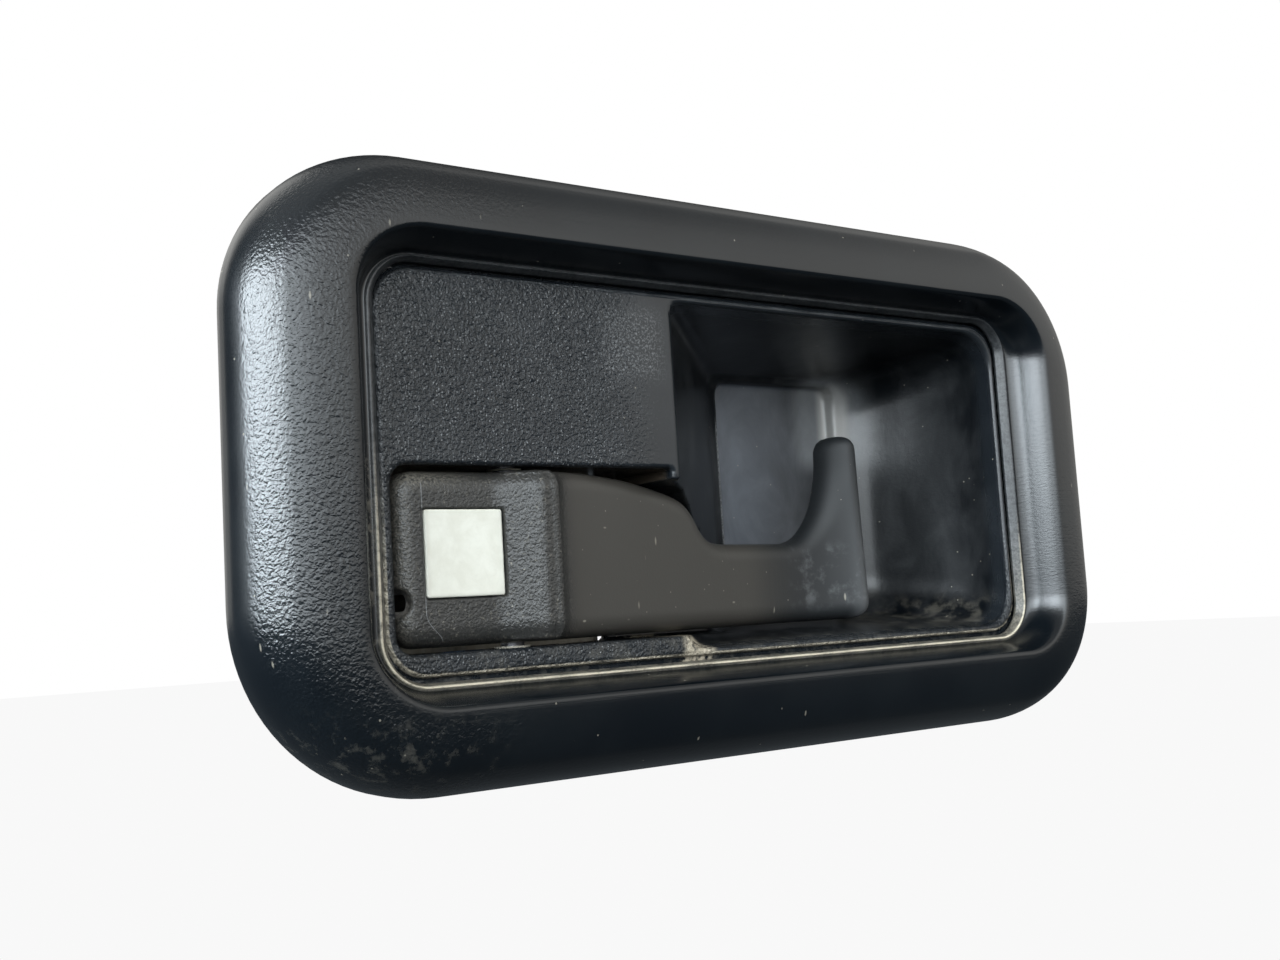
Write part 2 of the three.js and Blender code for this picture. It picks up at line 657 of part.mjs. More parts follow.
function makeCrankScrew([x, z]) {
  const seat = CRANK.plateY + CRANK.thick + GAP;
  return makeScrewAlongY(x, z, 1.1, 2.6, -1, seat, seat + 1.6);
}

function makeRodClip() {
  const { z, thick, endY } = CRANK;
  const [under, over] = [z - thick / 2 - GAP, z + thick / 2 + GAP];
  const stub = rodAlongZ(PIVOT.x, endY, 2, under - 2, over + 1);
  const cap = rodAlongZ(PIVOT.x, endY, 3.4, over, over + 1.6);
  const collar = rodAlongZ(PIVOT.x, endY, 4.4, under - 1.6, under);
  const holder = box([PIVOT.x - 6.5, PIVOT.x + 6.5], [endY - 3.4, endY + 3.4], [under - 6.4, under - 1.4]);
  const channel = rodAlongX(endY, under - 4.2, 1.6, PIVOT.x - 10, PIVOT.x + 10);
  const mouth = box([PIVOT.x - 10, PIVOT.x + 10], [endY, endY + 6], [under - 5.1, under - 3.3]);
  return union([stub, cap, collar, holder]).subtract(channel).subtract(mouth);
}

function makeBuffer({ x, z, front, radius }) {
  const seat = BRACKET.front - GAP;
  const post = rodAlongY(x, z, radius, front + 0.8, seat);
  const nose = rodAlongY(x, z, radius * 0.7, front, front + 1);
  return post.add(nose);
}

function makeFixingScrew([x, z]) {
  const seat = FLANGE.front - GAP;
  return makeScrewAlongY(x, z, 1.9, 3.4, 0, seat, seat - 1.6);
}

// ---------------------------------------------------------------- the handle

const handle = new THREE.Group();

function place(name, manifold, material) {
  const mesh = new THREE.Mesh(geometryOf(manifold), material);
  mesh.name = name;
  handle.add(mesh);
}

place('bezel', makeBezel(), MATERIALS.bezel);
place('foam_seal', makeFoamSeal(), MATERIALS.foam);
[[CLIP_X, 1], [-CLIP_X, 1], [CLIP_X, -1], [-CLIP_X, -1]].forEach(([x, side], i) => {
  place(`bezel_clip_${i + 1}`, makeBezelClip(x, side), MATERIALS.spring);
});

place('bowl', makeBowl(), MATERIALS.bowl);
FIXINGS.forEach((spot, i) => {
  place(`fixing_screw_${i + 1}`, makeFixingScrew(spot), MATERIALS.zinc);
});

place('lever', makeLever(), MATERIALS.lever);
place('marker_tile', makeMarkerTile(), MATERIALS.tile);
place('crank_arm', makeCrankArm(), MATERIALS.steel);
CRANK_SCREWS.forEach((spot, i) => {
  place(`crank_screw_${i + 1}`, makeCrankScrew(spot), MATERIALS.zinc);
});
place('rod_clip', makeRodClip(), MATERIALS.rodClip);

place('pivot_bracket', makePivotBracket(), MATERIALS.steel);
BRACKET_SCREWS.forEach((spot, i) => {
  place(`bracket_screw_${i + 1}`, makeBracketScrew(spot), MATERIALS.zinc);
});
place('pivot_pin', makePivotPin(), MATERIALS.steel);
place('bush_upper', makeBush(0.75, 6.2, 5.2, 6.2), MATERIALS.bush);
place('bush_lower', makeBush(-34.2, -28.6, -34.2, -33.2), MATERIALS.bush);
place('circlip', makeCirclip(), MATERIALS.spring);
place('return_spring', makeReturnSpring(), MATERIALS.spring);
place('rest_buffer', makeBuffer(REST_BUFFER), MATERIALS.rubber);
place('open_buffer', makeBuffer(OPEN_BUFFER), MATERIALS.rubber);

export default handle;
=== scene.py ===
"""Looks of the inside door handle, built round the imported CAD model.

Shapes are worked out in millimetres in the row's frame and turned into metres when a mesh is made.
"""

import json
import math

import bpy
import numpy as np
from mathutils import Matrix, Vector


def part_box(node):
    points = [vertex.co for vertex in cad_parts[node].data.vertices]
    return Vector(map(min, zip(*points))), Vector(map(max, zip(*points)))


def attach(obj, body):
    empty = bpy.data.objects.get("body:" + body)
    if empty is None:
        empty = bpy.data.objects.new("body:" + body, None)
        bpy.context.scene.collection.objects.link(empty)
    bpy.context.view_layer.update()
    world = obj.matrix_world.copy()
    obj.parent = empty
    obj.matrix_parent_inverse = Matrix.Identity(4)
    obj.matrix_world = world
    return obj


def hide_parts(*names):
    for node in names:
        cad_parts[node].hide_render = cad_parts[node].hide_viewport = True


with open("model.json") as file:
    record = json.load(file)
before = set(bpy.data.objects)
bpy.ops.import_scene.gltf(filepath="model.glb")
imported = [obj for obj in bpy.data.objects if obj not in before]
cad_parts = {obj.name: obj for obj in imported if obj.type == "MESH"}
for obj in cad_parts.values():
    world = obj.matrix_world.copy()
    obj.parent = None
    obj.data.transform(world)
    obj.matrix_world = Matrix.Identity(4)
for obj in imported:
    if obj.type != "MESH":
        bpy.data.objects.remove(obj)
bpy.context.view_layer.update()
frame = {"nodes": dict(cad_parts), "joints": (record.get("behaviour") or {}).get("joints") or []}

MM = 0.001


def box_mm(node):
    """A CAD node's lowest and highest corners in millimetres."""
    low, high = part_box(node)
    return np.array(low) / MM, np.array(high) / MM


# ---------------------------------------------------------------- sizes from the frame

BEZEL_LOW, BEZEL_HIGH = box_mm("bezel")
BOWL_LOW, BOWL_HIGH = box_mm("bowl")
LEVER_LOW, LEVER_HIGH = box_mm("lever")
TILE_LOW, TILE_HIGH = box_mm("marker_tile")
SPRING_LOW, SPRING_HIGH = box_mm("return_spring")
PULL = next(j for j in frame["joints"] if j["name"] == "lever_pull")
PIVOT = np.array(PULL["pos_m"]) / MM

# ---------------------------------------------------------------- moulding sizes, millimetres

BEZEL_RADII = (28.7, 34.0, 26.7, 31.0)  # from the lower right, anticlockwise as seen from the front
LIP_HALF = (74.0, 34.0)
LIP_RADIUS = 8.0
BEZEL_WALL = 2.3
SHOULDER_Y, SHOULDER_REACH, SHOULDER_FULLNESS, SHOULDER_SWEEP = -3.0, 10.0, 1.14, 60

FLANGE_RADIUS = 21.0
FLANGE_Y = (-7.4, -5.4)
PANEL_HALF = (72.4, 32.4)
PANEL_RADIUS = 7.0
PANEL_Y = (float(BOWL_LOW[1]), -6.6)
PANEL_EDGE_X = -14.3
CUP_WALL = 2.2
CUP_FLOOR_Y = float(BOWL_HIGH[1]) - CUP_WALL
BAY_LEFT, BAY_BOTTOM, BAY_TOP, BAY_BACK = -70.9, -29.0, 1.0, 11.0

PAD_Y = -7.8
NOTCH_Z, NOTCH_RADIUS = -20.7, 2.2
TILE_GAP = 0.15


# ---------------------------------------------------------------- distance fields

def smooth_min(a, b, k):
    h = np.maximum(k - np.abs(a - b), 0.0) / k
    return np.minimum(a, b) - h * h * k * 0.25


def smooth_max(a, b, k):
    return -smooth_min(-a, -b, k)


def corner_join(a, b, radius):
    """The intersection of two distances, with a round edge."""
    a, b = a + radius, b + radius
    return np.minimum(np.maximum(a, b), 0.0) + np.hypot(np.maximum(a, 0.0), np.maximum(b, 0.0)) - radius


def rounded_rect(u, v, low, high, radius):
    qu = np.abs(u - (low[0] + high[0]) / 2) - (high[0] - low[0]) / 2
    qv = np.abs(v - (low[1] + high[1]) / 2) - (high[1] - low[1]) / 2
    return corner_join(qu, qv, radius)


def slab(outline, w, low, high, edge):
    """An outline's distance, cut off at low and high on the third axis."""
    return corner_join(outline, np.abs(w - (low + high) / 2) - (high - low) / 2, edge)


def polygon_distance(u, v, points):
    """Signed distance to a closed outline of straight pieces."""
    shape = np.broadcast(u, v).shape
    best = np.full(shape, 1e9)
    inside = np.zeros(shape, bool)
    for (au, av), (bu, bv) in zip(points, np.roll(points, -1, axis=0)):
        eu, ev = bu - au, bv - av
        pu, pv = u - au, v - av
        t = np.clip((pu * eu + pv * ev) / (eu * eu + ev * ev), 0.0, 1.0)
        best = np.minimum(best, (pu - eu * t) ** 2 + (pv - ev * t) ** 2)
        if ev != 0:
            crosses = ((av <= v) != (bv <= v)) & (u < au + (v - av) / ev * eu)
            inside ^= crosses
    return np.where(inside, -1.0, 1.0) * np.sqrt(best)


def catmull(points, steps, closed=False):
    """A smooth line through points, with the given steps between each two."""
    points = np.asarray(points, float)
    if closed:
        padded = np.vstack([points[-1], points, points[0], points[1]])
    else:
        padded = np.vstack([2 * points[0] - points[1], points, 2 * points[-1] - points[-2]])
    out = []
    for i in range(1, len(padded) - 2):
        p0, p1, p2, p3 = padded[i - 1:i + 3]
        for t in np.arange(steps) / steps:
            out.append(0.5 * (2 * p1 + (p2 - p0) * t + (2 * p0 - 5 * p1 + 4 * p2 - p3) * t * t
                              + (3 * p1 - p0 - 3 * p2 + p3) * t ** 3))
    if not closed:
        out.append(points[-1])
    return np.array(out)


# ---------------------------------------------------------------- meshes from fields

def grid_values(field, low, high, step):
    axes = [np.arange(low[i], high[i] + step, step) for i in range(3)]
    x, y, z = np.meshgrid(*axes, indexing="ij", sparse=True)
    return axes, np.broadcast_to(field(x, y, z), [len(a) for a in axes]).astype(np.float32)


def surface_nets(axes, values):
    """Points and quads of the zero surface of a grid of values."""
    inside = values < 0
    corners = [(i, j, k) for i in (0, 1) for j in (0, 1) for k in (0, 1)]
    size = [n - 1 for n in values.shape]

    def corner(array, c):
        return array[c[0]:c[0] + size[0], c[1]:c[1] + size[1], c[2]:c[2] + size[2]]

    count = sum(corner(inside, c).astype(np.int8) for c in corners)
    cells = np.argwhere((count > 0) & (count < 8))
    at_corner = {c: values[tuple((cells + c).T)].astype(float) for c in corners}
    total, hits = np.zeros((len(cells), 3)), np.zeros(len(cells))
    for a in corners:
        for axis in range(3):
            if a[axis]:
                continue
            b = tuple(1 if i == axis else a[i] for i in range(3))
            va, vb = at_corner[a], at_corner[b]
            cut = (va < 0) != (vb < 0)
            t = np.where(cut, va / np.where(cut, va - vb, 1.0), 0.0)
            point = np.tile(np.array(a, float), (len(cells), 1))
            point[:, axis] += t
            total += point * cut[:, None]
            hits += cut
    step = axes[0][1] - axes[0][0]
    origin = np.array([a[0] for a in axes])
    points = origin + (cells + total / hits[:, None]) * step
    number = np.full(size, -1, np.int64)
    number[tuple(cells.T)] = np.arange(len(cells))
    quads = []
    for axis in range(3):
        near = [slice(None)] * 3
        far = [slice(None)] * 3
        near[axis], far[axis] = slice(0, -1), slice(1, None)
        change = inside[tuple(near)] != inside[tuple(far)]
        edges = np.argwhere(change)
        one, two = (axis + 1) % 3, (axis + 2) % 3
        edges = edges[(edges[:, one] > 0) & (edges[:, two] > 0)]
        edges = edges[(edges[:, one] < size[one]) & (edges[:, two] < size[two])]
        starts_inside = inside[tuple(edges.T)]
        ring = []
        for d_one, d_two in ((-1, -1), (0, -1), (0, 0), (-1, 0)):
            cell = edges.copy()
            cell[:, one] += d_one
            cell[:, two] += d_two
            ring.append(number[tuple(cell.T)])
        quad = np.stack(ring, axis=1)
        quad[~starts_inside] = quad[~starts_inside][:, ::-1]
        quads.append(quad)
    return points, np.vstack(quads)


def gradient(field, points, eps=0.02):
    out = np.zeros_like(points)
    for axis in range(3):
        step = np.zeros(3)
        step[axis] = eps
        ahead, behind = points + step, points - step
        out[:, axis] = field(*ahead.T) - field(*behind.T)
    return out / (2 * eps)


def moulded(name, field, low, high, step, settle=2):
    """A smooth closed mesh of field's zero surface, with normals from the field itself."""
    axes, values = grid_values(field, low - 2 * step, high + 2 * step, step)
    points, quads = surface_nets(axes, values)
    for _ in range(settle):
        slope = gradient(field, points)
        square = np.maximum((slope ** 2).sum(1), 0.2)
        move = slope * (field(*points.T) / square)[:, None]
        far = np.linalg.norm(move, axis=1, keepdims=True)
        points = points - move * np.minimum(1.0, 0.6 * step / np.maximum(far, 1e-9))
    points = np.clip(points, low, high)
    mesh = bpy.data.meshes.new(name)
    mesh.from_pydata((points * MM).tolist(), [], quads.tolist())
    normals = gradient(field, points, eps=0.12)
    normals /= np.maximum(np.linalg.norm(normals, axis=1, keepdims=True), 1e-9)
    mesh.polygons.foreach_set("use_smooth", [True] * len(mesh.polygons))
    mesh.normals_split_custom_set_from_vertices(normals.tolist())
    piece = bpy.data.objects.new(name, mesh)
    bpy.context.scene.collection.objects.link(piece)
    return piece


def grid_mesh(name, rows, closed_rows, closed_columns):
    """A mesh of quads over rows of points; rows and columns can each close on themselves."""
    rows = np.asarray(rows)
    n, m = rows.shape[:2]
    faces = []
    for r in range(n if closed_rows else n - 1):
        for c in range(m if closed_columns else m - 1):
            r2, c2 = (r + 1) % n, (c + 1) % m
            faces.append((r * m + c, r * m + c2, r2 * m + c2, r2 * m + c))
    mesh = bpy.data.meshes.new(name)
    mesh.from_pydata((rows.reshape(-1, 3) * MM).tolist(), [], faces)
    mesh.polygons.foreach_set("use_smooth", [True] * len(mesh.polygons))
    piece = bpy.data.objects.new(name, mesh)
    bpy.context.scene.collection.objects.link(piece)
    return piece


# ---------------------------------------------------------------- bezel

def ring_points(half, radii, per_corner, per_side):
    """Points round a centred rounded rectangle, the same number whatever its size."""
    corners = []
    for i, radius in enumerate(radii):
        cx = (half[0] - radius) * (1 if i < 2 else -1)
        cz = (half[1] - radius) * (1 if i in (1, 2) else -1)
        angles = np.radians(90 * (i - 1) + np.linspace(0, 90, per_corner))
        corners.append(np.stack([cx + radius * np.cos(angles), cz + radius * np.sin(angles)], axis=1))
    points = []
    for i, arc in enumerate(corners):
        following = corners[(i + 1) % 4][0]
        between = np.linspace(0, 1, per_side + 1)[1:-1, None]
        points += [arc, arc[-1] + (following - arc[-1]) * between]
    return np.vstack(points)


def bezel_section():
    """The ring's section: distance in from the outer edge, and Y."""
    crown_y = float(BEZEL_LOW[1])
    turn = np.radians(np.linspace(0, SHOULDER_SWEEP, 16))
    shoulder = np.stack([SHOULDER_REACH * (1 - np.cos(turn) ** SHOULDER_FULLNESS),
                         SHOULDER_Y + (crown_y - SHOULDER_Y) * np.sin(turn) ** SHOULDER_FULLNESS], axis=1)
    fall = catmull([tuple(shoulder[-1]), (7, -16.05), (9, -16.7), (11, -17.08), (13, -17.33),
                    (14.5, crown_y), (15.4, -17.1), (16.0, -16.35), (16.7, -14.9), (17.35, -13.3),
                    (17.95, -11.75), (18.55, -10.65), (19.1, -10.15), (19.6, -10.0), (20.2, -10.35),
                    (20.7, -10.1), (21.6, -8.9)], 5)
    fall[:, 1] = np.maximum(fall[:, 1], crown_y)
    under = [(21.5, -8.35), (18.5, -8.4), (17.3, -9.6), (15.6, -12.2), (13.8, -14.2), (11.6, -15),
             (8.9, -14.6), (6.3, -12.7), (4.2, -9.8), (2.9, -6.8)]
    start = [(0.35, 0.0), (0.08, -0.12), (0.0, -0.5), (0.0, -1.6)]
    end = [(BEZEL_WALL, -4.2), (BEZEL_WALL, -0.4), (BEZEL_WALL - 0.1, -0.1), (BEZEL_WALL - 0.35, 0.0)]
    return np.vstack([start, shoulder, fall[1:], under, end])


# Along the top and bottom the crown runs closer to the lip: share of the width at the ends, and there.
CROWN_SHIFT = [(0, 0), (0.3, 0.3), (0.71, 0.8), (0.77, 0.845), (0.88, 0.935), (0.94, 0.97), (1, 1),
               (1.1, 1.06)]


def make_bezel():
    outer = ring_points((BEZEL_HIGH[0], BEZEL_HIGH[2]), BEZEL_RADII, 25, 14)
    inner = ring_points(LIP_HALF, [LIP_RADIUS] * 4, 25, 14)
    ahead = np.roll(outer, -1, axis=0) - np.roll(outer, 1, axis=0)
    lengthwise = ahead[:, :1] ** 2 / np.sum(ahead ** 2, axis=1, keepdims=True)
    width = BEZEL_HIGH[0] - LIP_HALF[0]
    rows = []
    for s, y in bezel_section():
        share = s / width
        shift = float(np.interp(share, *zip(*CROWN_SHIFT))) - share
        flat = outer + (inner - outer) * (share + lengthwise * shift)
        rows.append(np.column_stack([flat[:, 0], np.full(len(flat), y), flat[:, 1]]))
    return grid_mesh("bezel_moulding", rows, True, True)


# ---------------------------------------------------------------- bowl

CUP_FRONT_Y = -9.4
CUP_BACK_Y = CUP_FLOOR_Y - 2.0
CUP_LEFT_Y, CUP_LEFT_SLOPE = -6.4, 1.1  # where the left wall starts to lean, and how far for each mm of depth
CUP_RIGHT = catmull([(-14, 71.9), (-9.4, 71.4), (0, 70.0), (8, 67.4), (14, 64.6), (18.5, 62.0), (21, 59.8),
                     (22.8, 57.0), (24.5, 51)], 8)


def cup_hollow(x, y, z):
    """The finger cup's inner space."""
    left = (PANEL_EDGE_X + (y - CUP_LEFT_Y) * CUP_LEFT_SLOPE - x) / math.hypot(1, CUP_LEFT_SLOPE)
    left = np.where(y < CUP_LEFT_Y, PANEL_EDGE_X - x, left)
    depth = (y - CUP_FRONT_Y) / (CUP_BACK_Y - CUP_FRONT_Y)
    top = (z - (31.5 - 6.2 * depth)) * 0.983
    bottom = ((-31.4 + 4.6 * depth) - z) * 0.99
    right_at = np.interp(y, CUP_RIGHT[:, 0], CUP_RIGHT[:, 1])
    slope = np.interp(y, CUP_RIGHT[:, 0], np.gradient(CUP_RIGHT[:, 1], CUP_RIGHT[:, 0]))
    right = (x - right_at) / np.sqrt(1 + slope ** 2)
    walls = smooth_max(smooth_max(top, right, 9.0), smooth_max(bottom, right, 9.0), 0.1)
    walls = smooth_max(walls, left, 3.0)
    walls = smooth_max(walls, y - CUP_BACK_Y, 2.2)
    recess = slab(rounded_rect(x, z, (21.2, -25.6), (54.2, 24.2), 3.0), y, 18.0, CUP_FLOOR_Y, 0.9)
    return smooth_min(walls, recess, 1.0)


BAY_OUTLINE = [
    (BAY_LEFT, BAY_BOTTOM), (7, BAY_BOTTOM), (7, -9), (-0.5, -9), (-4.6, -4.6), (-8.5, -2.3), (-16.2, -1.0),
    (-16.2, BAY_TOP), (BAY_LEFT, BAY_TOP),
]
BAY_OPEN_TO = -20.5


def bay_hollow(x, y, z):
    """The lever's slot: open at the back behind the pivot, closed behind the arm."""
    corner = rounded_rect(x, z, (BAY_LEFT, BAY_BOTTOM), (60, BAY_TOP), 3.6)
    outline = smooth_max(polygon_distance(x, z, np.array(BAY_OUTLINE)), corner, 0.5)
    window = slab(outline, y, -14, BAY_BACK - 1.6, 0.3)
    back_outline = rounded_rect(x, z, (BAY_LEFT, BAY_BOTTOM), (BAY_OPEN_TO, BAY_TOP), 1.5)
    back = slab(back_outline, y, 5, BAY_BACK + 3, 0.3)
    return np.minimum(window, back)


def screw_spots(prefix, count):
    """X and Z of each screw of a set, from the CAD."""
    spots = []
    for i in range(count):
        low, high = box_mm(f"{prefix}_{i + 1}")
        spots.append(((low[0] + high[0]) / 2, (low[2] + high[2]) / 2))
    return spots


def bowl_field(x, y, z):
    hx, hz = float(BOWL_HIGH[0]), float(BOWL_HIGH[2])
    flange = slab(rounded_rect(x, z, (-hx, -hz), (hx, hz), FLANGE_RADIUS), y, *FLANGE_Y, 0.4)
    face = rounded_rect(x, z, (-PANEL_HALF[0], -PANEL_HALF[1]), PANEL_HALF, PANEL_RADIUS)
    panel = slab(face, y, PANEL_Y[0], FLANGE_Y[1], 0.55)
    relief = slab(rounded_rect(x, z, (-69.5, 3), (-8, 29.5), 5), y, PANEL_Y[1], 3, 0.6)
    whole = np.maximum(smooth_min(flange, panel, 0.6), -relief)
    bay_outline = rounded_rect(x, z, (BAY_LEFT - 2, BAY_BOTTOM - 2), (6.5, BAY_TOP + 2), 2)
    bay = slab(bay_outline, y, FLANGE_Y[0], BAY_BACK, 0.5)
    hollow = cup_hollow(x, y, z)
    shell = corner_join(hollow - CUP_WALL, FLANGE_Y[0] + 0.6 - y, 0.3)
    whole = smooth_min(smooth_min(whole, bay, 1.2), shell, 1.6)
    for sx, sz in screw_spots("bracket_screw", 3):
        post = slab(np.hypot(x - sx, z - sz) - 3.8, y, -6.9, BAY_BACK, 0.3)
        whole = smooth_min(whole, post, 1.0)
    for sx, sz in screw_spots("fixing_screw", 4):
        pad = slab(np.hypot(x - sx, z - sz) - 4.2, y, -6.4, 0.0, 0.3)
        whole = smooth_min(whole, pad, 0.8)
    for rx in (8, 28, 48):
        upper = np.maximum((z - 43.5), np.maximum(29 - z, (y + 4) * 0.515 + (z - 43.5) * 0.857))
        lower = np.maximum((-z - 43.5), np.maximum(26 + z, (y + 4) * 0.504 + (-z - 43.5) * 0.864))
        web = np.maximum(np.minimum(upper, lower), np.maximum(-6 - y, y - 20))
        whole = smooth_min(whole, np.maximum(web, np.abs(x - rx) - 0.9), 0.8)
    for rz in (-14, 4, 20):
        web = np.maximum(np.maximum(-6 - y, y - 20), (y + 4) * 0.667 + (x - 85.5) * 0.745)
        web = np.maximum(web, np.maximum(60 - x, np.abs(z - rz) - 0.9))
        whole = smooth_min(whole, web, 0.8)
    for rx in (-58, -36):
        web = np.maximum(np.maximum(2 - z, (y + 5) * 0.915 + (z - 31) * 0.403), np.maximum(-7 - y, y - 6))
        whole = smooth_min(whole, np.maximum(web, np.abs(x - rx) - 0.8), 0.8)
    ear_gap = slab(rounded_rect(x, z, (-56, -38.5), (-37, BAY_BOTTOM - 2), 0.5), y, PANEL_Y[1], 14, 0.3)
    whole = np.maximum(whole, -ear_gap)
    whole = smooth_max(whole, -hollow, 0.8)
    whole = smooth_max(whole, -bay_hollow(x, y, z), 0.7)
    pin_hole = slab(np.hypot(x - PIVOT[0], y - PIVOT[1]) - 3.4, z, BAY_BOTTOM - 6, BAY_TOP + 6, 0.2)
    whole = np.maximum(whole, -pin_hole)
    for sx, sz in screw_spots("fixing_screw", 4):
        whole = np.maximum(whole, 2.3 - np.hypot(x - sx, z - sz))
    return whole


# ---------------------------------------------------------------- lever

LEVER_FRONT = catmull([
    (-90, PAD_Y), (-62, PAD_Y), (-55, PAD_Y), (-52.2, -8.0), (-50.2, -9.0), (-47.6, -10.6), (-45.4, -11.9),
    (-43.8, float(LEVER_LOW[1])), (-42.4, -12.0), (-41.2, -10.9), (-39.2, -9.75), (-34, -8.2), (-24, -5.7),
    (-12, -2.4), (0, 0.9), (10, 3.5),
    (19, 5.6), (26, 6.2), (31, 5.3), (34.6, 3.7), (37.4, 1.6), (39.6, 1.0), (41, 1.4), (46, 3.0)], 6)
LEVER_BACK = catmull([
    (-90, -1.8), (-60, -1.8), (-56, -1.7), (-54.2, 0.5), (-52.6, 4.2), (-50, 4.6), (-40, 4.6), (-24, 5.6),
    (-2, 7.2), (18, 10.6), (28, float(LEVER_HIGH[1])), (36, 9.4), (40, 6.8), (42.5, 3.5)], 6)


def lever_outline():
    """The lever seen from the front, in X and Z."""
    left, bottom = float(LEVER_LOW[0]), float(LEVER_LOW[2])
    right, top, fin = float(LEVER_HIGH[0]), 0.2, float(LEVER_HIGH[2])

    def arc(cx, cz, r, start, end, steps=8):
        angles = np.radians(np.linspace(start, end, steps))
        return np.stack([cx + r * np.cos(angles), cz + r * np.sin(angles)], axis=1)

    sweep = catmull([(34.3, 7.2), (33.9, 2), (32, -5), (28.4, -10), (24.5, -11.8), (20, -12)], 4)
    shoulder = catmull([(4, -12), (0, -11.4), (-2.6, -9.6), (-5.2, -6.2), (-8.5, -3.8), (-15, -2.1),
                        (-24, -0.6), (-34, top)], 4)
    return np.vstack([
        arc(right - 3.6, bottom + 3.6, 3.6, -90, 0), [(right - 0.6, -4)],
        arc(right - 3.7, fin - 2.9, 2.9, 0, 165), sweep, shoulder,
        arc(left + 4, top - 4, 4, 90, 180), arc(left + 4, bottom + 4, 4, 180, 270),
    ])


LEVER_OUTLINE = lever_outline()


def profile_distance(x, y, profile):
    at = np.interp(x, profile[:, 0], profile[:, 1])
    slope = np.interp(x, profile[:, 0], np.gradient(profile[:, 1], profile[:, 0]))
    return (y - at) / np.sqrt(1 + slope ** 2)


def lever_field(x, y, z):
    outline = polygon_distance(x, z, LEVER_OUTLINE)
    front = -profile_distance(x, y, LEVER_FRONT)
    back = profile_distance(x, y, LEVER_BACK)
    body = smooth_max(outline, front, 3.6)
    body = smooth_max(body, back, 1.2)
    hollow = np.maximum(outline + 2.1, np.maximum(front + 2.5, x - 20))
    body = smooth_max(body, -hollow, 0.7)
    reach = np.maximum(front + 1.0, y - 5.5)
    from_pivot = np.hypot(x - PIVOT[0], y - PIVOT[1])
    web = np.maximum(np.abs(x - PIVOT[0]) - 3.5, y - PIVOT[1])
    hub = np.minimum(from_pivot - 5.2, web)
    spans = ((float(LEVER_LOW[2]) + 0.5, float(SPRING_LOW[2]) - 0.7), (float(SPRING_HIGH[2]) + 0.7, -0.3))
    for low, high in spans:
        body = smooth_min(body, np.maximum(reach, slab(hub, z, low, high, 0.3)), 0.6)
    for low, high in (((-65.5, -12), (-61.5, -8)), ((-27.5, -11), (-21.5, -5))):
        block = rounded_rect(x, z, low, high, 0.5)
        stop = -2.1 if low[0] < -60 else 5.4
        body = smooth_min(body, np.maximum(np.maximum(block, front + 1.0), y - stop), 0.6)
    for i in range(2):
        low, high = box_mm(f"crank_screw_{i + 1}")
        sx, sz = (low[0] + high[0]) / 2, (low[2] + high[2]) / 2
        post = np.maximum(np.hypot(x - sx, z - sz) - 3.1, reach)
        body = smooth_min(body, post, 0.6)
    pocket_outline = rounded_rect(x, z, (TILE_LOW[0] - TILE_GAP, TILE_LOW[2] - TILE_GAP),
                                  (TILE_HIGH[0] + TILE_GAP, TILE_HIGH[2] + TILE_GAP), 0.5)
    pocket = slab(pocket_outline, y, -12, TILE_HIGH[1] + 2 * TILE_GAP, TILE_GAP)
    body = smooth_max(body, -pocket, 0.25)
    notch = np.hypot(x - LEVER_LOW[0], z - NOTCH_Z) - NOTCH_RADIUS
    body = smooth_max(body, -notch, 0.5)
    return np.maximum(body, 2.2 - from_pivot)


# ---------------------------------------------------------------- materials

